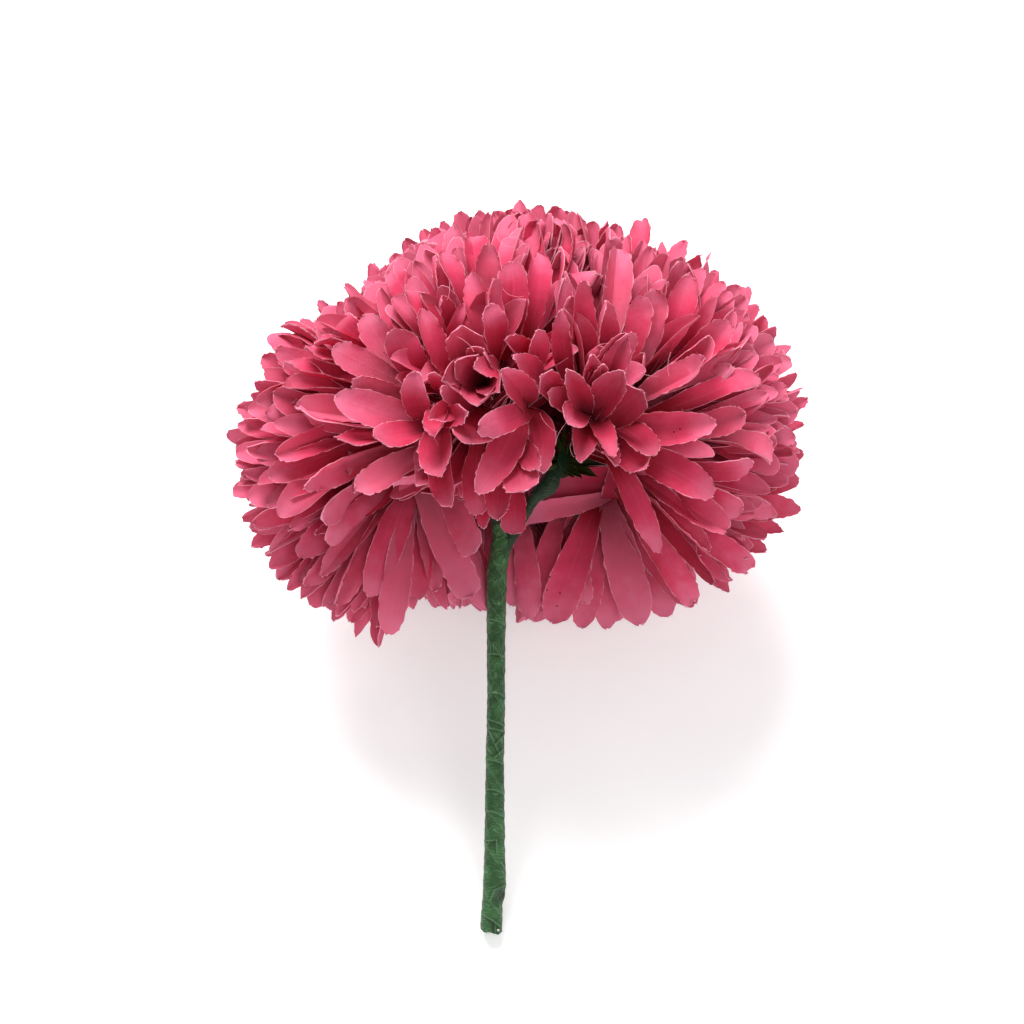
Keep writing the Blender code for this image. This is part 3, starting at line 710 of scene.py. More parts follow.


# Petals set one by one where the photograph shows them, read off it: tip x and y, root x and y
# (where the petal goes out of sight) and seen width, in its pixels, then how far it is lifted (mm) and,
# where they are its own, its curl, its cup and the name of its outline
placed = {
    "upperLeft": {"sink": 8.0, "petals": (
        (276, 334, 330, 344, 13, 0), (272, 347, 330, 353, 17, 0), (284, 328, 328, 340, 12, 1),
        (471, 230, 478, 275, 28, 0), (488, 247, 488, 280, 34, 1), (472, 273, 488, 343, 28, 1),
        (488, 280, 495, 343, 14, 2), (493, 307, 497, 352, 18, 2), (441, 253, 457, 290, 18, 0),
        (434, 257, 436, 297, 14, -1), (388, 270, 415, 300, 30, 0), (401, 294, 427, 324, 22, 1),
        (421, 309, 440, 368, 26, 1), (440, 294, 450, 324, 24, 0), (463, 320, 471, 358, 40, 0),
        (335, 318, 362, 347, 26, 0), (365, 314, 383, 358, 32, 0), (395, 329, 411, 374, 36, 1),
        (316, 339, 350, 347, 16, 0), (333, 348, 379, 374, 30, 1), (304, 353, 342, 358, 16, 0),
        (283, 369, 335, 379, 14, 0), (283, 385, 344, 391, 18, 0), (335, 397, 419, 429, 36, 1),
        (350, 378, 400, 405, 30, 0), (297, 414, 365, 433, 12, 1), (295, 408, 352, 420, 28, 0),
        (275, 452, 339, 437, 26, 0), (268, 477, 342, 446, 30, 0), (303, 486, 352, 460, 22, 1),
        (337, 444, 373, 435, 20, 1), (373, 440, 417, 433, 26, 2), (352, 492, 404, 463, 28, 0),
    )},
    # darkened by its tone as painted shade
    "crown": {"sink": 9.0, "toneAndPaintedShade": -0.7, "petals": (
        (442, 478, 430, 424, 37, 2, 0.5, 0.7), (453, 507, 434, 462, 29, 0, 0.3, 0.5),
        (472, 369, 510, 362, 23, 5, 0.5, 0.35), (497, 368, 540, 404, 28, 4, 1.2, 0.5),
        (437, 388, 478, 406, 20, 4, 1.0, 0.8, "round"), (507, 358, 560, 376, 24, 3, 1.5, 0.6),
        (434, 370, 440, 396, 18, 1, 0.5, 0.6), (412, 376, 420, 429, 30, 1, -1.5, 0.3),
        (424, 424, 470, 400, 24, 3, 2.0, 0.8), (436, 444, 440, 402, 26, 2, 1.5, 0.9),
        (479, 412, 428, 420, 24, 5, 2.4, 0.9), (468, 445, 486, 404, 42, 2, 0.4, 0.2),
        (481, 429, 548, 404, 25, 5, -0.6, -0.6, "round"), (496, 340, 540, 352, 22, 3, 2.0, 0.8),
        (534, 372, 566, 398, 27, 4, 1.6, 0.8, "round"),
        (477, 493, 531, 413, 34, 3, 0.0, 0.5), (524, 492, 516, 452, 34, 1, 0.2, 0.3, "cut"),
        (539, 470, 522, 446, 22, 0, 0.3, 0.4), (542, 472, 547, 404, 27, -6, 0.0, 0.5),
        (499, 520, 497, 474, 26, -5, 0.2, 0.5), (513, 534, 518, 480, 24, -7, 0.2, 0.3, "cut"),
        (484, 529, 484, 504, 16, -9, 0.2, 0.4), (478, 515, 474, 456, 29, -7, 0.2, 0.4),
    )},
    "hollow": {"sink": 17.0, "toneAndPaintedShade": -0.9, "petals": (  # one deep cup between the two near heads, its tone darkened as painted shade
        (445, 380, 486, 382, 46, 4, -0.3, 1.0, "round"), (478, 407, 485, 378, 42, 4, 0.2, 1.2, "round"),
        (458, 361, 484, 382, 38, 3, -0.3, 0.9, "round"), (497, 390, 484, 376, 32, 3, -0.3, 0.9, "round"),
        (484, 350, 484, 378, 34, 1, 0.0, 0.6, "round"),
    )},
    "upper": {"sink": 9.0, "petals": (
        (540, 250, 545, 309, 30, 0), (616, 251, 613, 324, 32, 1), (573, 228, 573, 270, 21, 0),
        (546, 218, 547, 237, 19, 0), (566, 221, 565, 241, 20, 0), (642, 232, 644, 258, 21, 0),
        (628, 238, 630, 273, 22, 0), (608, 242, 609, 255, 22, 0), (690, 277, 678, 336, 34, 0),
        (708, 258, 700, 301, 16, 0), (645, 297, 638, 350, 23, 0), (656, 289, 660, 340, 24, 0),
        (730, 322, 690, 362, 30, 0), (711, 337, 668, 372, 26, 0), (707, 364, 654, 390, 26, 0),
        (627, 328, 593, 404, 30, 4), (716, 423, 638, 430, 42, 1), (759, 371, 688, 403, 26, 0),
        (748, 413, 710, 427, 30, 0), (753, 470, 700, 475, 26, 0), (771, 461, 737, 439, 24, 0),
        (512, 262, 516, 316, 28, 0), (583, 280, 580, 340, 28, 0), (560, 312, 566, 366, 24, 1),
        (600, 300, 598, 360, 22, 0), (534, 328, 542, 372, 26, 0),
    )},
    # darkened by its tone as painted shade
    "whorl": {"sink": 12.0, "toneAndPaintedShade": -0.7, "petals": (
        (613, 455, 595, 410, 24, 3, -0.5, 1.0), (580, 461, 588, 416, 27, 0, -0.3, 0.6),
        (614, 465, 606, 440, 18, -2, 0.0, 0.4), (656, 457, 628, 420, 30, 1, 0.5, 0.4),
        (652, 476, 614, 440, 32, -1, 3.0, 0.8), (650, 384, 612, 414, 38, 3, 2.5, 0.7),
        (625, 332, 586, 410, 33, 4, 0.5, 0.8), (626, 368, 588, 412, 34, 2, 1.0, 0.8),
        (567, 369, 584, 410, 25, 3, 0.0, 0.9), (566, 424, 584, 402, 30, 2, 0.3, 0.5, "round"),
        (544, 392, 578, 404, 24, 2, 0.8, 0.6), (604, 362, 590, 404, 22, 0, 0.4, 1.0),
        (592, 352, 586, 402, 20, 0, 0.4, 1.0),
    )},
    "lowerRight": {"sink": 8.0, "petals": (
        (714, 495, 655, 457, 36, 1), (722, 531, 655, 482, 34, 0), (708, 551, 646, 488, 26, 0),
        (714, 583, 659, 518, 30, 0), (695, 605, 648, 530, 30, -1), (748, 568, 703, 537, 26, 0),
        (659, 553, 628, 468, 24, 0), (742, 512, 690, 490, 26, 0),
    )},
    "fan": {"sink": 0.0, "toneAndPaintedShade": 0.5, "depths": (-5.0, -1.5), "petals": (
        (529, 619, 527, 522, 25, 2.6, 0.0, -0.5, "wide"), (512, 606, 522, 526, 24, 0, 0.0, 0.3, "wide"),
        (542, 612, 546, 520, 26, 1.2, 0.0, 0.3, "wide"), (552, 623, 591, 514, 36, 4.6, 0.0, 0.3, "round"),
        (587, 604, 576, 558, 18, 4.2, 0.0, 0.4, "wide"), (581, 628, 600, 514, 30, 0.6, 0.0, 0.25, "wide"),
        (607, 629, 603, 514, 28, -0.4, 0.0, 0.2, "wide"), (641, 625, 607, 508, 37, 3.2, 0.0, -0.25, "wide"),
        (670, 616, 612, 510, 34, 1.6, 0.0, -0.2, "wide"), (695, 605, 622, 508, 34, 3.4, 0.2, 0.4, "wide"),
        (566, 606, 590, 516, 28, -1, 0.0, 0.3, "wide"),
    )},
    "sheet": {"sink": 0.0, "depths": (-2.4, -1.6), "petals": (
        (528, 482, 650, 488, 54, 0, 0.0, 0.05, "flat"), (630, 462, 616, 512, 44, -0.5, 0.0, 0.1, "flat"),
    )},
    # petals behind the calyx, darkened by their tone as painted shade so that the gap reads dark
    "behindCalyx": {"sink": 0.0, "toneAndPaintedShade": -1.5, "depths": (-9.0, -11.0), "petals": (
        (538, 506, 552, 424, 42, 0, 0.0, 0.2, "wide"), (576, 502, 562, 424, 42, -1, 0.0, 0.2, "wide"),
        (556, 512, 556, 432, 40, -2, 0.0, 0.2, "wide"),
    )},
    "strip": {"sink": 0.0, "depths": (-2.8, 1.5), "petals": (
        (513, 515, 614, 500, 24, -0.2, 0.0, 0.1, "band"),
    )},
    "lowerLeft": {"sink": 0.0, "toneAndPaintedShade": 0.7, "depths": (10.0, 6.0), "petals": (
        (389, 635, 405, 520, 29, 4, 0.0, 0.4, "round"), (369, 597, 409, 488, 32, 2, 0.3, 0.4),
        (337, 618, 392, 512, 30, 0), (321, 576, 388, 492, 30, 1), (315, 534, 392, 480, 28, 2),
        (306, 585, 345, 535, 24, -1), (288, 528, 345, 500, 24, 0), (288, 495, 345, 480, 26, 1),
        (330, 603, 384, 512, 28, 1), (418, 600, 424, 510, 29, -3), (443, 600, 452, 520, 20, -7),
        (456, 606, 474, 540, 18, -8), (471, 596, 414, 482, 30, 3, 0.0, -0.35, "cut"),
        (476, 552, 448, 490, 31, 5, 0.2, 0.3, "cut"), (354, 612, 398, 510, 28, -1),
        (298, 556, 360, 505, 28, 0), (436, 590, 428, 500, 28, -4),
    )},
}
bloomRim = {  # the petals that make the bloom's outline
    "centre": (522, 415),  # px
    "petals": 103,
    "angles": (-42.0, 240.0),  # degrees, from lower right over the top to lower left
    "nearest": 100.0,  # px from the centre where the search for the edge starts
    "short": 0.975,  # how far out each second one ends
    "ragged": 4.0,  # px that a tip stands in or out
    "length": 27.0,
    "deepest": 6.0,  # mm that a tip lies before or behind the fork
    "depthScatter": 2.0,
    "roll": 0.5,
    "habit": {"curl": 0.3, "twist": 0.6, "cupTip": 0.6},  # shares of what other petals have
    "widths": (0.85, 1.1),
    "lowest": 600,  # px: further down the outline is free
    "slack": 0.4,  # mm that the other petals may reach past it
}
shapes = {  # outlines unlike the rest
    "cut": {"widest": 0.82, "blunt": 6.0, "point": 0.4, "fold": 0.0},
    "wide": {"widest": 0.74, "blunt": 2.8, "point": 0.52, "fold": 0.0, "twist": 0.0, "ripple": 0.2},
    "round": {"widest": 0.78, "blunt": 2.6, "point": 0.5, "fold": 0.0},
    # the flat sheet's tone is darkened as painted shade
    "flat": {"widest": 0.6, "blunt": 6.0, "point": 0.3, "fold": 0.0, "ripple": 0.1, "ridge": 0.0,
             "toneAndPaintedShade": -2.3},
    # the strip's tone is paled as painted light
    "band": {"widest": 0.95, "blunt": 9.0, "point": 0.25, "fold": 0.0, "ripple": 0.1, "twist": 0.0,
             "toneAndPaintedShade": 1.0},
}
placing = {
    "trueWidth": 29,  # px, what a petal measures seen flat
    "swell": 1.05,
    "heartward": 0.45,  # how far the hidden part runs on to its head
    "longest": 34.0,
    "lift": 0.8,
    "liftScatter": 0.3,
    "rootLift": 0.6,  # share of the lift that the root has
    "rollScatter": 0.12,
    "facing": (0.6, 0.4),  # shares of the viewer and of the bloom's own outside
    "ownHabit": {"twist": 0.4, "ripple": 0.6},  # shares left where curl and cup are given
    "leastCup": 0.7,
    "faceShare": 0.42,  # of the width: what counts as a petal's face
}
flow = {  # petals between the placed ones, pointing as they do
    "steps": ((25.0, 7.0, 99.0), (17.0, 0.4, 7.0)),  # px apart, between two depths in mm inside
    "corner": (232, 204),  # px, of the field in which they are set out
    "field": (600, 440),
    "rowStep": 0.87,
    "scatter": 0.16,
    "widths": (0.62, 1.3),
    "lengths": (72, 95),  # px
    "sway": 0.2,
    "reach": 42.0,  # px over which placed petals steer them
    "region": {"sink": 13.0},
    "lift": -3.6,  # mm, so that they stay under the placed ones
    "lowest": 520,  # px
    "gap": (380, 640, 470),  # px, left, right and top of the gap under the heads
}
cover = {  # which petals grown by rule would hide placed ones
    "shares": (0.3, 0.5, 0.7, 0.85, 1.0),  # of their length, where they are tried
    "depth": 8,  # mm below the bloom's near side
    "lowest": 500,  # px
}
clearings = (  # px centre and half-axes, mm: nothing loose in front
    (562, 440, 20, 32, -6.0), (586, 472, 26, 16, 2.0), (502, 534, 24, 20, -3.0), (590, 488, 44, 24, -2.0),
    (546, 486, 18, 20, 0.0), (528, 512, 14, 20, 0.0), (498, 580, 15, 52, -1.5), (575, 520, 50, 20, -1.0),
    (482, 380, 22, 22, 10.0), (590, 568, 82, 58, -5.5), (420, 560, 80, 62, 8.0),
)


def domeDepth(x, y):  # depth of the bloom's near side at a pixel
    depth = 20.0  # a first guess, made better three times
    for _ in range(3):
        place = fromPixel(x, y, depth)
        depths = []
        for middle, radius in envelope:
            square = radius**2 - (place[0] - middle[0]) ** 2 - (place[1] - middle[1]) ** 2
            rise = math.sqrt(square) if square > 0 else -math.sqrt(-square) * 0.6
            depths.append(middle[2] + rise)
        depth = max(depths)
    return depth


def domeNormal(place):
    nearest = max(envelope, key=lambda ball: ball[1] - np.linalg.norm(place - np.array(ball[0])))
    return unit(place - np.array(nearest[0]))


def nearestHead(place):
    return min(heads, key=lambda name: np.linalg.norm(heartOf(heads[name]) - place))


def inClearing(x, y, depth):
    return any(((x - cx) / rx) ** 2 + ((y - cy) / ry) ** 2 < 1 and depth > least
               for cx, cy, rx, ry, least in clearings)


def placePetal(entry, region, draw, extra=placing["lift"]):
    tipX, tipY, rootX, rootY, width, lift = entry[:6]
    if "depths" in region:
        tipDepth, rootDepth = region["depths"]
    else:
        tipDepth, rootDepth = domeDepth(tipX, tipY), domeDepth(rootX, rootY) - region["sink"]
    habit = petalHabit(draw)
    # the region's tone; for the deep regions this is painted shade
    habit["toneAndPaintedShade"] += region.get("toneAndPaintedShade", 0)
    trueWidth = max(width, placing["trueWidth"])
    roll = math.acos(width / trueWidth) * (1 if draw.random() < 0.5 else -1)
    roll += draw.gauss(0, placing["rollScatter"])
    lift += draw.uniform(-placing["liftScatter"], placing["liftScatter"]) + extra
    if len(entry) > 6:  # its own curl and cup
        trueWidth, roll = width, 0.0
        habit.update({key: habit[key] * share for key, share in placing["ownHabit"].items()})
        habit.update(curl=entry[6], cupTip=entry[7], cupRoot=max(placing["leastCup"], entry[7]))
        habit.update(shapes[entry[8]] if len(entry) > 8 else {})
    tip = fromPixel(tipX, tipY, tipDepth + lift)
    seen = fromPixel(rootX, rootY, rootDepth + lift * placing["rootLift"])
    head = nearestHead(seen)
    root = seen + (heartOf(heads[head]) - seen) * placing["heartward"]
    if np.linalg.norm(tip - root) > placing["longest"]:
        root = tip + unit(root - tip) * placing["longest"]
    viewerShare, outsideShare = placing["facing"]
    toViewer = unit(np.array((0, 0, 1.0)) * viewerShare + domeNormal(tip) * outsideShare)
    slope = unit(tip - seen)
    side = turned(unit(np.cross(slope, toViewer)), roll, slope)
    width = trueWidth * pose["pixel"] * placing["swell"]
    return head, {"root": root, "early": root + (seen - root) * 0.8, "late": seen + (tip - seen) * 0.5,
                  "tip": tip, "side": side, "width": width, **habit}


def rimPetal(x, y, draw):  # points straight out from its head
    deepest, third = bloomRim["deepest"], bloomRim["length"] / 3
    depth = float(np.clip(domeDepth(x, y), -deepest, deepest))
    tip = fromPixel(x, y, depth + draw.gauss(0, bloomRim["depthScatter"]))
    head = nearestHead(tip)
    way = unit(tip - heartOf(heads[head]))
    root = tip - way * bloomRim["length"]
    side = turned(unit(np.cross(way, (0, 0, 1.0))), draw.gauss(0, bloomRim["roll"]), way)
    habit = petalHabit(draw)
    habit.update({key: habit[key] * share for key, share in bloomRim["habit"].items()})
    width = placing["trueWidth"] * pose["pixel"] * draw.uniform(*bloomRim["widths"])
    return head, {"root": root, "early": root + way * third, "late": root + way * (2 * third) + (0, 0, 1.0),
                  "tip": tip, "side": side, "width": width, **habit}


def insideBloom(x, y, margin):  # of the balls' outline, by a margin in mm
    place = fromPixel(x, y, 10.0)
    return any((place[0] - m[0]) ** 2 + (place[1] - m[1]) ** 2 < (r - margin) ** 2 for m, r in envelope)


def rimTips():  # along the edge of the bloom's balls
    draw = random.Random(15)
    middleX, middleY = bloomRim["centre"]
    first, last = bloomRim["angles"]
    tips = []
    for number in range(bloomRim["petals"]):
        angle = math.radians(first + (last - first) * (number + 0.5) / bloomRim["petals"])
        right, up = math.cos(angle), math.sin(angle)
        reach = bloomRim["nearest"]
        while insideBloom(middleX + right * reach, middleY - up * reach, 0.0):
            reach += 1
        reach = reach * (bloomRim["short"] if number % 2 else 1.0) + draw.gauss(0, bloomRim["ragged"])
        tips.append((middleX + right * reach, middleY - up * reach))
    return tips


def placedPetals():  # along the bloom's edge, and one by one
    draw = random.Random(5)
    made = {name: [] for name in heads}
    for x, y in rimTips():
        head, petal = rimPetal(x, y, draw)
        made[head].append(petal)
    for region in placed.values():
        for entry in region["petals"]:
            head, petal = placePetal(entry, region, draw)
            made[head].append(petal)
    return made


def overPlaced(x, y):  # a pixel on the face of a placed petal
    for region in placed.values():
        for entry in region["petals"]:
            tip, root = np.array(entry[:2], float), np.array(entry[2:4], float)
            way = root - tip
            share = np.clip(((x, y) - tip) @ way / (way @ way), 0.04, 0.8)
            if np.linalg.norm(tip + way * share - (x, y)) < entry[4] * placing["faceShare"]:
                return True
    return False


def inGap(x, y):  # under the heads, where nothing flows
    left, right, top = flow["gap"]
    return y > flow["lowest"] or (top < y and left < x < right)


def flowingPetals():
    draw = random.Random(6)
    made = {name: [] for name in heads}
    strokes = [entry for region in placed.values() if "depths" not in region for entry in region["petals"]]
    ends = np.array([entry[:2] for entry in strokes], float)
    ways = unit(np.array([(e[0] - e[2], e[1] - e[3]) for e in strokes], float))
    (firstX, firstY), (wide, high) = flow["corner"], flow["field"]
    for step, least, most in flow["steps"]:
        for row in range(int(high / step / flow["rowStep"])):
            for column in range(int(wide / step)):
                x = firstX + (column + 0.5 * (row % 2)) * step + draw.gauss(0, step * flow["scatter"])
                y = firstY + row * step * flow["rowStep"] + draw.gauss(0, step * flow["scatter"])
                share, length = draw.uniform(*flow["widths"]), draw.uniform(*flow["lengths"])
                sway = np.array((draw.gauss(0, flow["sway"]), draw.gauss(0, flow["sway"])))
                if not insideBloom(x, y, least) or insideBloom(x, y, most):
                    continue
                if inGap(x, y) or inClearing(x, y, math.inf) or overPlaced(x, y):
                    continue
                near = np.exp(-((ends - (x, y)) ** 2).sum(1) / (2 * flow["reach"] ** 2))
                way = unit((ways * near[:, None]).sum(0) + sway * near.sum())
                entry = (x, y, x - way[0] * length, y - way[1] * length, placing["trueWidth"] * share, 0)
                head, petal = placePetal(entry, flow["region"], draw, flow["lift"])
                petal["flows"] = True
                made[head].append(petal)
    return made


def outsideOutline(x, y):
    return y < bloomRim["lowest"] and not insideBloom(x, y, -bloomRim["slack"])


def clearOfGaps(petal):  # and of the faces of the placed petals
    for share in cover["shares"]:
        place = bezier(petal["root"], petal["early"], petal["late"], petal["tip"], share)
        x, y = pixelOf(place)
        if inClearing(x, y, place[2]) or outsideOutline(x, y):
            return False
    hides = place[2] > domeDepth(x, y) - cover["depth"] and y < cover["lowest"] and overPlaced(x, y)
    return petal.get("flows") or not hides


fibres = {
    "share": 0.16,  # of the rim places of a placed petal that carry one
    "length": (0.12, 0.5),
    "radius": 0.03,
    "lowest": 0.35,  # share of the petal's length below which none grow
    "scatter": 0.5,
    "lean": (-0.4, 0.8),  # along the petal
    "corners": ((1.0, 0.0), (-0.5, 0.87), (-0.5, -0.87)),
    "faces": ((0, 1, 2), (0, 3, 1), (1, 3, 2), (2, 3, 0)),
    "threadRadius": 0.034,
    "threadSides": 5,
    "threadPlaces": 9,
    "threadLift": (1.5, 0.5),  # mm over the petals, at its two ends
    "threads": (  # photo px from end to end, and how far it bows, in mm
        ((497, 232), (514, 247), 1.0), ((540, 413), (557, 432), 0.5), ((556, 443), (572, 418), -0.6),
        ((671, 352), (669, 376), 0.4), ((503, 289), (524, 296), 0.7), ((474, 352), (455, 336), 0.5),
        ((447, 300), (449, 282), 0.3), ((571, 443), (574, 457), 0.4), ((438, 446), (428, 432), 0.3),
        ((640, 372), (658, 376), 0.3), ((600, 282), (608, 287), 0.3),
    ),
}


def makeFibres(groups):  # three-sided slivers, each closed
    draw = random.Random(71)
    points = []
    along, across, onRim = finePetal["along"], finePetal["across"], finePetal["edge"] > 0.99
    spots = np.flatnonzero(onRim & (along > fibres["lowest"]) & (finePetal["side"] > 0))
    for many in groups:
        bent = bentPetals(finePetal, many, random.Random(100)) if many else ()
        for body in bent:
            for spot in spots:
                if draw.random() > fibres["share"]:
                    continue
                inside = body[np.flatnonzero((along == along[spot]) & (across == 0))[0]]
                foot = body[spot]
                stray = np.array([draw.gauss(0, fibres["scatter"]) for _ in range(3)])
                out = unit(foot - inside + 1e-6) + stray
                lean = unit(body[-1] - body[0]) * draw.uniform(*fibres["lean"])
                tip = foot + unit(out + lean) * draw.uniform(*fibres["length"])
                first = unit(np.cross(tip - foot, (0.3, 0.2, 1.0))) * fibres["radius"]
                second = unit(np.cross(tip - foot, first)) * fibres["radius"]
                points += [foot + first * right + second * up for right, up in fibres["corners"]] + [tip]
    faces = copiedFaces(fibres["faces"], 4, len(points) // 4)
    piece = meshPiece("cutFibres", toWorld(points), faces)
    finishPiece(piece, "thread", "petals")
    faceOutward(piece)
    return len(points) // 4


def makeThreads():
    shares = np.linspace(0, 1, fibres["threadPlaces"])
    startLift, endLift = fibres["threadLift"]
    for number, (startPixel, endPixel, bow) in enumerate(fibres["threads"]):
        start = fromPixel(*startPixel, domeDepth(*startPixel) + startLift)
        end = fromPixel(*endPixel, domeDepth(*endPixel) + endLift)
        side = unit(np.cross(end - start, (0, 0, 1.0))) * bow
        places = [start + (end - start) * share
                  + side * math.sin(math.pi * share) * (1 + 0.15 * math.sin(9 * share)) for share in shares]
        radii = [fibres["threadRadius"]] * len(places)
        thread = drawnTube("looseThread%d" % (number + 1), places, radii, fibres["threadSides"])
        finishTube(thread, "thread", "petals")


onePlaced = placedPetals()
flowing = flowingPetals()
petalPieces = []
for name in heads:
    many = [petal for petal in growPetals(name) + flowing[name] if clearOfGaps(petal)]
    groups = [(plainPetal, many)] + ([(finePetal, onePlaced[name])] if onePlaced[name] else [])
    petalPieces.append(addPetals(name + "Petals", groups, 100 + len(many), "petals_" + name))
    print(name, "head:", len(many), "petals and", len(onePlaced[name]), "placed ones")
print(makeFibres([onePlaced[name] for name in heads]), "fibres on the cut edges")


def ballForm(detail):  # points and faces of a ball with radius 1
    deselectAll()
    bpy.ops.mesh.primitive_ico_sphere_add(subdivisions=detail, radius=1)
    ball = bpy.context.object
    form = coordinatesOf(ball), [tuple(face.vertices) for face in ball.data.polygons]
    bpy.data.objects.remove(ball)
    return form


specks = {
    "radius": 0.17,  # mm
    "flatness": 0.35,
    "pixels": ((550, 577), (547, 590), (560, 593), (557, 606), (674, 432), (680, 429)),
}


def makeSpecks():  # each on the petal that its pixel shows
    ball, ballFaces = ballForm(1)
    eye = Vector(toWorld((*studio["centre"][:2], studio["distance"])))
    points = []
    for x, y in specks["pixels"]:
        way = (Vector(toWorld(fromPixel(x, y))) - eye).normalized()
        hits = [piece.ray_cast(eye, way) for piece in petalPieces]
        near = min((hit for hit in hits if hit[0]), key=lambda hit: (hit[1] - eye).length)
        first, second = squareTo(np.array(near[2]))
        axes = np.array((first, second, np.array(near[2]) * specks["flatness"])) * specks["radius"] * mm
        points += (np.array(near[1]) + ball @ axes).tolist()
    faces = copiedFaces(ballFaces, len(ball), len(specks["pixels"]))
    finishPiece(meshPiece("specks", points, faces), "speck", "petals")


makeSpecks()

# Stem: a ring drawn out along the stem's line, smoothed and wrapped with tape

stem = {
    "line": (  # y, centre x, radius in mm
        (1.9, -0.35, 1.15), (0.2, -0.28, 1.25), (-0.9, 0.05, 1.52), (-1.8, 0.30, 1.80), (-3.6, 0.12, 1.90),
        (-7.1, -0.55, 1.84), (-12.4, -0.64, 1.80),
        (-20.0, -0.72, 1.68), (-26.0, -0.72, 1.64), (-31.0, -0.70, 1.62), (-37.0, -0.82, 1.62),
        (-42.1, -0.94, 1.64), (-50.0, -0.95, 1.75), (-56.7, -0.96, 1.86), (-61.5, -0.98, 1.95),
        (-65.3, -0.98, 2.10), (-67.0, -1.16, 2.04), (-68.6, -1.42, 1.86), (-72.3, -1.57, 1.98),
        (-73.4, -1.60, 2.02),
    ),
    "sides": 16,
    "lapPitch": 7.6,  # mm from one turn of the tape to the next
    "lapStep": 0.10,
    "lean": 0.30,  # how steeply the turns climb
    "ringStep": 0.55,
    "folds": (  # lapped edges that show: photo px, rise in mm, bow in px
        ((486, 620), (507, 628), 0.10, -3), ((487, 655), (506, 660), 0.10, -3),
        ((487, 694), (506, 700), 0.16, -4), ((486, 719), (505, 727), 0.18, -1),
        ((486, 728), (505, 733), 0.10, -1), ((489, 731), (498, 752), 0.14, 0),
        ((505, 732), (496, 743), 0.12, 0), ((502, 749), (494, 757), 0.10, 0),
        ((485, 745), (491, 753), 0.10, 0), ((485, 760), (503, 765), 0.16, -2),
        ((485, 790), (504, 796), 0.10, -3), ((485, 811), (504, 818), 0.14, -2),
        ((484, 841), (496, 840), 0.14, 0), ((496, 840), (496.5, 852), 0.10, 0),
        ((500, 862), (506, 872), 0.10, 0), ((508, 883), (494, 889), 0.22, 0),
        ((494, 889), (490, 899), 0.10, 0), ((481, 913), (492, 920), 0.14, 0),
        ((492, 920), (504, 928), 0.14, 0), ((494.5, 922), (495, 934), 0.12, 0),
        ((484, 868), (483, 885), 0.08, 0),
    ),
    "foldFade": 0.15,  # of its length, at both ends
    "foldHeight": 0.7,
    "foldSides": (1.0, -7.0),  # px below and above its edge
    "foldPale": (-0.5, 0.6),  # px: place and width of its pale edge
    "foldShadow": (1.2, 0.9, 0.7),  # px: place and width of its shadow, and how dark
    "wander": (0.5, 0.35),  # mm that the turns stray, and how often along the stem
    "lapRise": 0.04,  # share of a turn over which its edge rises
    "lapTaper": 0.9,
    "nearSide": (-0.1, 0.3),
    "lapPale": (0.3, 0.05, 0.16),  # how pale a turn's edge is, and the shares of a turn that it covers
    "lapShadow": (0.4, 0.93),
    "sideBrown": (0.80, 0.9),  # browner at the left and right sides: how far round it starts, and how often it comes along the stem
    "crinkles": ((0.03, 9, 1.7), (0.03, 5, -2.9)),  # mm, waves round the stem and along it
    "pocket": (502.5, 894.5, 5.0, 7.0, 0.55),  # px centre and half-axes of the dark fold, depth in mm; its darkness is painted shade
    "pocketTop": (883, 888),  # px
    "lobes": (-70.5, 494, 3.0, 0.30),  # mm where they start, px of the groove, its width and depth; the groove is also painted dark as shade
    "endLine": ((-3.66, -73.0), (-2.74, -73.6), (-2.0, -73.25), (-1.28, -73.6), (-0.36, -73.95),
                (0.37, -73.4)),
    "endFrom": -71.0,  # mm where the end begins to take its line
    "glueDrops": ((487.2, 932.2, 0.9, 0.45), (498.2, 930.2, 1.62, 0.24)),  # px, depth and radius in mm
}


def drawnTube(name, places, radii, sides, smoothing=1):  # a circle drawn out ring by ring along a path
    deselectAll()
    bpy.ops.mesh.primitive_circle_add(vertices=sides, radius=1, fill_type="NOTHING")
    tube = bpy.context.object
    tube.name = tube.data.name = name
    bpy.ops.object.mode_set(mode="EDIT")
    for _ in places[1:]:
        bpy.ops.mesh.extrude_region_move(TRANSFORM_OT_translate={"value": (0, 0, 1)})
    bpy.ops.object.mode_set(mode="OBJECT")
    points = coordinatesOf(tube)
    ring = np.rint(points[:, 2]).astype(int)
    angle = np.arctan2(points[:, 1], points[:, 0])
    places = np.array(places, float)
    slopes = unit(np.gradient(places, axis=0))
    sideways = np.empty_like(places)
    last = np.array((0.0, 0.0, 1.0))
    for step, slope in enumerate(slopes):
        last = unit(last - slope * (slope @ last))
        sideways[step] = last
    second = np.cross(slopes, sideways)
    out = sideways[ring] * np.cos(angle)[:, None] + second[ring] * np.sin(angle)[:, None]
    placeVertices(tube, places[ring] + out * np.array(radii)[ring][:, None])
    finer = tube.modifiers.new("finer", "SUBSURF")
    finer.levels = finer.render_levels = smoothing
    applyModifiers(tube)
    return tube


def finishTube(tube, material, slotName, *nodes):  # laid down, closed and given its finish
    placeVertices(tube, toWorld(coordinatesOf(tube)))
    closeEnds(tube)
    finishPiece(tube, material, slotName, *nodes)


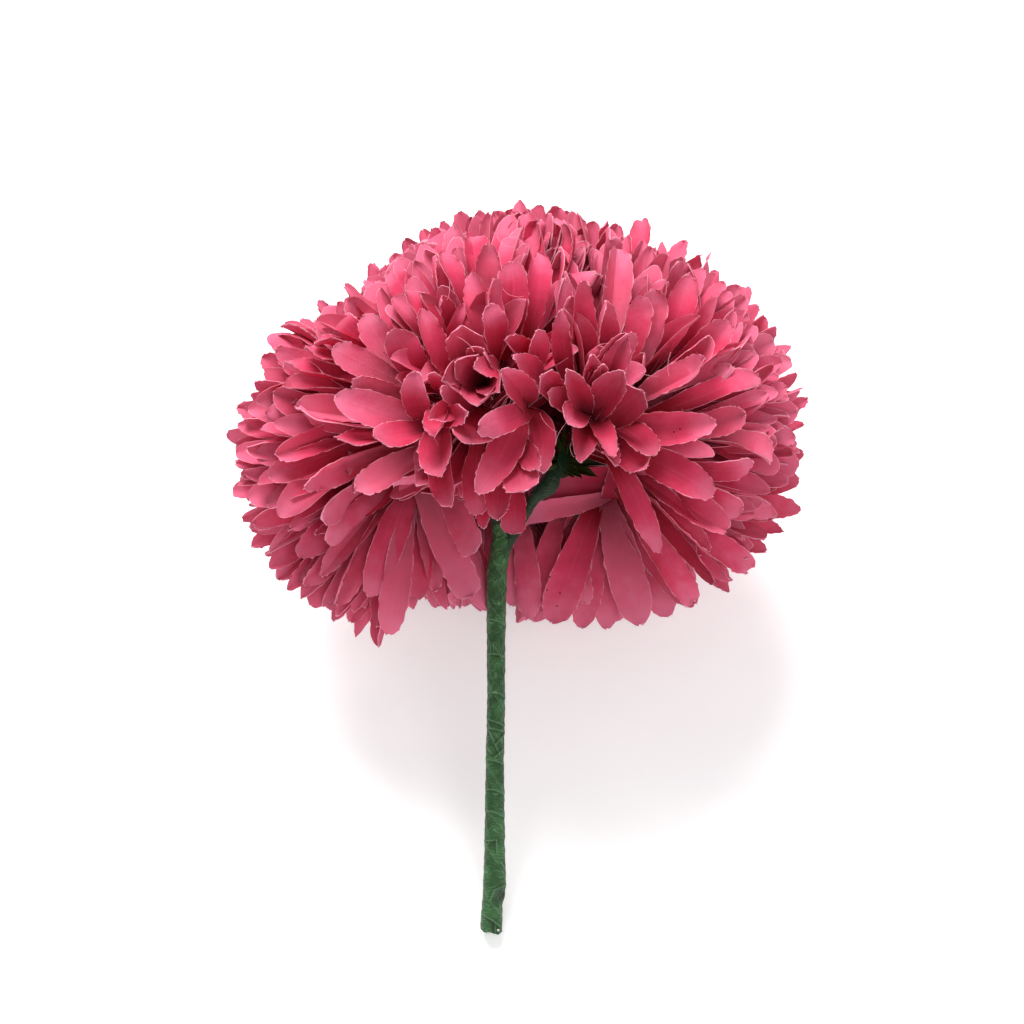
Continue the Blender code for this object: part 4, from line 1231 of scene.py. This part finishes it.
def foldMarks(x, y, near):  # rise, pale edges and shadows of the lapped edges
    fold, lap, shade = (np.zeros(len(x)) for _ in range(3))
    fade, (under, over) = stem["foldFade"], stem["foldSides"]
    (palePlace, paleWidth), (shadowPlace, shadowWidth, dark) = stem["foldPale"], stem["foldShadow"]
    for start, end, rise, bow in stem["folds"]:
        start, way = np.array(start, float), np.array(end, float) - start
        length = math.hypot(*way)
        along = ((x - start[0]) * way[0] + (y - start[1]) * way[1]) / length**2
        aside = ((y - start[1]) * way[0] - (x - start[0]) * way[1]) / length
        aside = aside - bow * np.sin(np.clip(along, 0, 1) * math.pi)
        within = smooth(-fade, 0.0, along) * smooth(1 + fade, 1.0, along) * near
        fold += stem["foldHeight"] * rise * within * smooth(under, 0.0, aside) * smooth(over, 0.0, aside)
        lap += within * np.exp(-(((aside - palePlace) / paleWidth) ** 2))
        shade += within * np.exp(-(((aside - shadowPlace) / shadowWidth) ** 2)) * dark
    return fold, lap, shade


def makeStem():
    line = np.array(stem["line"])
    heights = np.arange(line[0, 0], line[-1, 0], -stem["ringStep"])
    heights = np.append(heights, line[-1, 0])
    centres = np.interp(-heights, -line[:, 0], line[:, 1])
    radii = np.interp(-heights, -line[:, 0], line[:, 2])
    places = np.stack((centres, heights, np.zeros_like(heights)), 1)
    tube = drawnTube("floralTape", places, radii, stem["sides"], 2)
    points = coordinatesOf(tube)
    middleX = np.interp(-points[:, 1], -line[:, 0], line[:, 1])
    middle = np.stack((middleX, points[:, 1], np.zeros(len(points))), 1)
    out = points - middle
    radius = np.linalg.norm(out, axis=1)
    out = out / radius[:, None]
    angle = np.arctan2(out[:, 0], out[:, 2])
    wander, often = stem["wander"]
    climb = points[:, 1] + stem["lean"] * radius * angle * 2 + wander * np.sin(points[:, 1] * often)
    turnShare = np.mod(climb / stem["lapPitch"] + angle / math.tau, 1.0)
    step = stem["lapStep"] * (smooth(0.0, stem["lapRise"], turnShare) * (1 - turnShare * stem["lapTaper"]))
    crinkle = sum(size * np.sin(angle * around + points[:, 1] * upward)
                  for size, around, upward in stem["crinkles"])
    x, y = pixelOf((points[:, 0], points[:, 1], 0.0))
    near = smooth(*stem["nearSide"], out[:, 2])
    fold, lap, shade = foldMarks(x, y, near)
    px, py, wide, high, deep = stem["pocket"]
    pocket = np.exp(-(((x - px) / wide) ** 2) - ((y - py) / high) ** 2) * near * smooth(*stem["pocketTop"], y)
    lobesFrom, groove, grooveWidth, grooveDepth = stem["lobes"]
    end = stem["line"][-1][0]
    lobes = smooth(lobesFrom, end, points[:, 1]) * grooveDepth
    lobes = lobes * np.exp(-(((x - groove) / grooveWidth) ** 2)) * near
    low = smooth(stem["endFrom"], end, points[:, 1]) * (np.interp(points[:, 0], *zip(*stem["endLine"])) - end)
    shaped = middle + out * (radius + step + crinkle + fold - lobes - pocket * deep)[:, None]
    placeVertices(tube, pressedOnFloor(toWorld(shaped + low[:, None] * (0, 1, 0)), 0.2 * mm))
    pale, paleFrom, paleTo = stem["lapPale"]
    lap += pale * smooth(0.0, paleFrom, turnShare) * (1 - smooth(paleFrom, paleTo, turnShare))
    shadow, shadowFrom = stem["lapShadow"]
    # painted shade in the pocket, the grooves and under each turn's edge
    shade += pocket * 1.3 + lobes * 2 + shadow * smooth(shadowFrom, 1.0, turnShare)
    sideBrownFrom, often = stem["sideBrown"]
    sideBrown = smooth(sideBrownFrom, 1.0, np.abs(np.sin(angle)))
    sideBrown = sideBrown * (0.5 + 0.5 * np.sin(points[:, 1] * often + angle))
    for key, values in {"lap": lap, "shade": shade, "sideBrown": sideBrown}.items():
        addAttribute(tube, key, np.clip(values, 0, 1))
    closeEnds(tube)
    finishPiece(tube, "tape", "tape", "stem_tape")


def makeGlueDrops():
    ball, ballFaces = ballForm(2)
    points = [fromPixel(x, y, depth) + ball * radius for x, y, depth, radius in stem["glueDrops"]]
    faces = copiedFaces(ballFaces, len(ball), len(points))
    finishPiece(meshPiece("glueDrops", toWorld(np.concatenate(points)), faces), "glue", "wire")


makeStem()
makeGlueDrops()
makeThreads()
print("stem wrapped, threads laid")

# Branches: a wire of the stem in its own winding of tape, from the fork to the calyx

branch = {
    "radius": 1.08,
    "sides": 8,
    "steps": 24,
    "swelling": (1.05, 1.15, 1.3, 1.45),  # of the last places, under the calyx
    "start": (0.1, 1.0, 0.0),
    "wireRing": 0.75,
    "firstWire": math.radians(-140),
    "calyxLength": 5.2,
    "crinkle": 0.07,
    "shade": 0.92,
    "frontPath": (  # photo px and depth of the branch that shows, radius in mm
        (500, 562, 0.0, 0.9), (504, 551, 0.3, 1.2), (508.5, 541, 0.3, 1.25), (513, 534, 0.2, 1.2),
        (520, 523.5, 0.0, 1.0), (527, 511.5, 0.0, 0.95), (534, 499.5, 0.2, 1.1), (540, 493, 0.4, 1.55),
        (549, 485, 0.5, 1.98), (553, 476, 0.6, 1.65), (556, 470, 0.8, 1.4),
    ),
    "rightPath": (  # mm, and radius: out of sight behind the strip of cloth
        (0.1, -1.0, -0.6, 1.0), (1.3, 2.6, -3.6, 1.05), (5.0, 3.8, -6.6, 1.05), (10.5, 3.7, -7.6, 1.05),
        (15.0, 3.7, -6.8, 1.2), (17.4, 4.9, -5.8, 1.5),
    ),
}


def branchPaths():  # as the wires leave the fork, each in its own place
    ends = {name: np.array(head["base"]) - unit(head["axis"]) * branch["calyxLength"]
            for name, head in heads.items()}
    order = sorted(heads, key=lambda name: math.atan2(ends[name][2], ends[name][0]))
    found = {}
    for number, name in enumerate(order):
        angle = math.tau * number / len(order) + branch["firstWire"]
        aside = branch["wireRing"] * np.array((math.cos(angle), 0, math.sin(angle)))
        fork = np.array(branch["start"]) + aside
        reach = np.linalg.norm(ends[name] - fork) / 3
        late = ends[name] - unit(heads[name]["axis"]) * reach
        shares = np.linspace(0, 1, branch["steps"])[:, None]
        found[name] = bezier(fork, fork + (0, reach, 0), late, ends[name], shares)
    return found


def smoothPath(places, steps):  # a finer path through the given places
    places = np.array(places, float)
    spots = np.arange(len(places))
    fine = np.linspace(0, len(places) - 1, steps)
    low = np.clip(fine.astype(int), 0, len(places) - 2)
    part = (fine - low)[:, None]
    before, after = places[np.clip(low - 1, 0, None)], places[np.clip(low + 2, None, spots[-1])]
    a, b = places[low], places[low + 1]
    return (a * (1 + (2 * part - 3) * part**2) + b * (3 - 2 * part) * part**2
            + (b - before) / 2 * (part - 2 * part**2 + part**3) + (after - a) / 2 * (part**3 - part**2))


def crinkled(tube, amount, seed):  # small folds of the tape, pushed along the normals
    draw = random.Random(seed)
    shift = [draw.uniform(0, 50) for _ in range(3)]
    points = coordinatesOf(tube)
    normals = np.array([tuple(vertex.normal) for vertex in tube.data.vertices])
    fold = (np.sin(points[:, 0] * 4.1 + points[:, 1] * 5.3 + shift[0]) * np.sin(points[:, 2] * 5.7 + shift[1])
            + 0.6 * np.sin(points[:, 1] * 9.1 - points[:, 0] * 7.7 + shift[2]))
    placeVertices(tube, points + normals * (fold * amount)[:, None])


def makeBranch(name, path):
    if name in ("front", "right"):
        rows = [(*fromPixel(x, y, depth), radius) for x, y, depth, radius in branch["frontPath"]]
        rows = smoothPath(rows if name == "front" else branch["rightPath"], 40)
        places, radii = rows[:, :3], rows[:, 3]
    else:
        places, radii = path, np.full(len(path), branch["radius"])
        radii[-len(branch["swelling"]):] *= branch["swelling"]
    tube = drawnTube(name + "Branch", places, radii, branch["sides"])
    crinkled(tube, branch["crinkle"], len(name))
    addAttribute(tube, "shade", np.full(len(tube.data.vertices), branch["shade"]))
    finishTube(tube, "tape", "sleeve", "sleeve_" + name)
    return places


# Calyces: a taped cup under each head with pointed green sepals

calyx = {
    "profile": (  # share of the way up, radius in mm
        (0.0, 1.5), (0.12, 1.95), (0.36, 2.35), (0.6, 2.0), (0.8, 2.5), (1.0, 3.1), (1.03, 2.6), (1.04, 1.6),
    ),
    "sides": 12,
    "crinkle": 0.06,
    "sepals": 9,
    "turnScatter": 0.08,
    "angleScatter": 7,  # degrees
    "short": 0.75,  # length of each second sepal
    "sepalRoot": (1.9, 1.3),  # mm out from the axis and below the petals
    "sepalLength": 5.2,
    "sepalWidth": 2.0,
    "frontFoot": (556, 470, 0.0),  # photo px and depth of the calyx that shows
    "frontRim": (571, 461, 5.0),
    "frontLowest": 470,  # px: lower sepals of that calyx are given one by one
    "frontDepths": (6.5, 5.2),  # mm, of the tips and roots of those
    "frontFacing": (0.1, 0.3, 1),
    "frontSepals": (  # tip and root in photo px, width in mm
        (608, 467, 568, 461, 2.2), (598, 477, 568, 464, 2.2), (582, 479, 566, 466, 1.9),
        (602, 454, 570, 458, 2.2), (592, 447, 571, 456, 1.8), (574, 478, 561, 468, 1.5),
        (566, 422, 562, 456, 0.9), (573, 430, 566, 458, 0.8), (557, 430, 560, 456, 0.8),
    ),
}


def sepalOf(root, tip, side, width, draw):
    bend = unit(np.cross(side, tip - root)) * np.linalg.norm(tip - root) * draw.uniform(-0.05, 0.12)
    return {
        "root": root, "early": root + (tip - root) / 3 + bend, "late": root + (tip - root) * 0.7 + bend,
        "tip": tip, "side": side, "width": width, "twist": draw.gauss(0, 0.3), "cupRoot": 0.9, "cupTip": 0.6,
        "ripple": 0.15, "waves": 9.0, "phase": draw.uniform(0, 6.3), "point": 1.15, "blunt": 1.5,
        "widest": 0.35, "curl": draw.gauss(0.1, 0.3), "ridge": 0.12, "fold": 0.25,
    }


def makeCalyx(name):
    head, draw = heads[name], random.Random(40 + len(name))
    axis, rim = unit(head["axis"]), np.array(head["base"])
    foot = rim - axis * branch["calyxLength"]
    if name == "front":
        foot, rim = fromPixel(*calyx["frontFoot"]), fromPixel(*calyx["frontRim"])
        axis = unit(rim - foot)
    places = [foot + (rim - foot) * share for share, _ in calyx["profile"]]
    cup = drawnTube(name + "Calyx", places, [radius for _, radius in calyx["profile"]], calyx["sides"])
    crinkled(cup, calyx["crinkle"], len(name))
    closeEnds(cup)
    first, second = squareTo(axis)
    out, low = calyx["sepalRoot"]
    sepals = []
    for number in range(calyx["sepals"]):
        around = math.tau * (number + 0.5) / calyx["sepals"] + draw.gauss(0, calyx["turnScatter"])
        way = math.cos(around) * first + math.sin(around) * second
        angle = math.radians(head["sepalAngle"] + draw.gauss(0, calyx["angleScatter"]))
        root = rim - axis * low + way * out
        length = calyx["sepalLength"] * (1 if number % 2 else calyx["short"])
        tip = root + length * (math.sin(angle) * way + math.cos(angle) * axis)
        if name == "front" and pixelOf(tip)[1] > calyx["frontLowest"]:
            continue
        sepals.append(sepalOf(root, tip, np.cross(axis, way), calyx["sepalWidth"], draw))
    if name == "front":
        for tipX, tipY, rootX, rootY, width in calyx["frontSepals"]:
            tipDepth, rootDepth = calyx["frontDepths"]
            tip, root = fromPixel(tipX, tipY, tipDepth), fromPixel(rootX, rootY, rootDepth)
            side = unit(np.cross(tip - root, calyx["frontFacing"]))
            sepals.append(sepalOf(root, tip, side, width, draw))
    points = bentPetals(plainPetal, sepals, draw).reshape(-1, 3)
    faces = copiedFaces(plainPetal["faces"], len(plainPetal["along"]), len(sepals))
    leaves = meshPiece("sepals", points, faces)
    addAttribute(leaves, "edge", np.tile(plainPetal["edge"], len(sepals)))
    addAttribute(leaves, "leaf", np.ones(len(points)))
    selectOnly(leaves, cup)
    bpy.ops.object.join()
    placeVertices(cup, toWorld(coordinatesOf(cup)))
    finishPiece(cup, "calyx", "calyx", "calyx_" + name)


# Wires: each runs from the stem's cut end through the fork and along its branch

wire = {
    "radius": 0.25,
    "sides": 6,
    "end": -72.9,
    "bundle": 0.6,  # how much closer together they lie in the stem
    "firstPlace": 5,  # of the stem's line, where they are bundled
    "knot": (-0.15, -1.0, 0.5),  # x and y at the fork, and share of the bundle there
    "everyStep": 4,  # of the branch
}


def makeWire(name, start, places):
    right, _, toViewer = (start - np.array(branch["start"])) * wire["bundle"]
    bundled = reversed(stem["line"][wire["firstPlace"]:])
    bound = [(x + right, max(y, wire["end"]), toViewer) for y, x, _ in bundled]
    knotX, knotY, share = wire["knot"]
    knot = (knotX + right * share, knotY, toViewer * share)
    route = [*bound, knot, *places[wire["everyStep"]::wire["everyStep"]]]
    tube = drawnTube(name + "Wire", route, [wire["radius"]] * len(route), wire["sides"])
    finishTube(tube, "wire", "wire", "wire_" + name)


paths = branchPaths()
for name in heads:
    places = makeBranch(name, paths[name])
    makeCalyx(name)
    makeWire(name, paths[name][0], places)
print("branches, calyces and wires made")

# Floor, light and camera

def makeFloor():
    deselectAll()
    bpy.ops.mesh.primitive_plane_add(size=studio["floorSize"], location=(0, 0, -studio["floorGap"]))
    floor = bpy.context.object
    floor.name = "paleFloor"
    paint = paintBox("paleFloor", {"Roughness": 0.9, "Specular IOR Level": 0.1,
                                   "Emission Color": (1, 1, 1, 1), "Emission Strength": studio["floorGlow"]})
    cloudy = paint.noise(paint.coordinates(), 40, 2)
    paint.feed(Base_Color=paint.mix(cloudy, (0.95, 0.95, 0.95, 1), (0.93, 0.93, 0.935, 1)))
    floor.data.materials.append(paint.material)


def aimed(holder, place, target, up=(0, 0, 1)):
    look = Vector(target) - Vector(place)
    back = -look.normalized()
    right = Vector(up).cross(back).normalized()
    turn = Matrix((right, back.cross(right), back)).transposed()
    holder.matrix_world = Matrix.Translation(place) @ turn.to_4x4()


def makeCamera():
    lens = bpy.data.cameras.new("camera")
    camera = addToScene("camera", lens)
    lens.sensor_width = studio["sensor"]
    lens.lens = studio["sensor"] * studio["distance"] / studio["viewWidth"]
    lens.clip_start, lens.clip_end = studio["clip"]
    target = Vector(toWorld(studio["centre"]))
    viewer = Vector(layDown @ np.array((0, 0, 1.0)))
    stemUp = Vector(layDown @ np.array((0, 1.0, 0)))
    aimed(camera, target + viewer * studio["distance"] * mm, target, stemUp)
    bpy.context.scene.camera = camera


lamps = {  # place in m, size in m, watts
    "topSoft": ((-0.16, 0.58, 0.76), 0.6, 13.2),
    "frontFill": ((0.3, -0.7, 0.9), 0.9, 4.5),
}


def makeLights():
    for name, (place, size, power) in lamps.items():
        light = bpy.data.lights.new(name, "AREA")
        light.shape, light.size, light.energy = "DISK", size, power
        aimed(addToScene(name, light), place, (0, 0, 0.04))
    world = bpy.data.worlds.new("studio")
    world.use_nodes = True
    background = world.node_tree.nodes["Background"]
    background.inputs["Color"].default_value = (1, 1, 1, 1)
    background.inputs["Strength"].default_value = studio["worldLight"]
    bpy.context.scene.world = world
    bpy.context.scene.view_settings.view_transform = "Standard"


makeFloor()
makeCamera()
makeLights()
print("floor, camera and lights set")
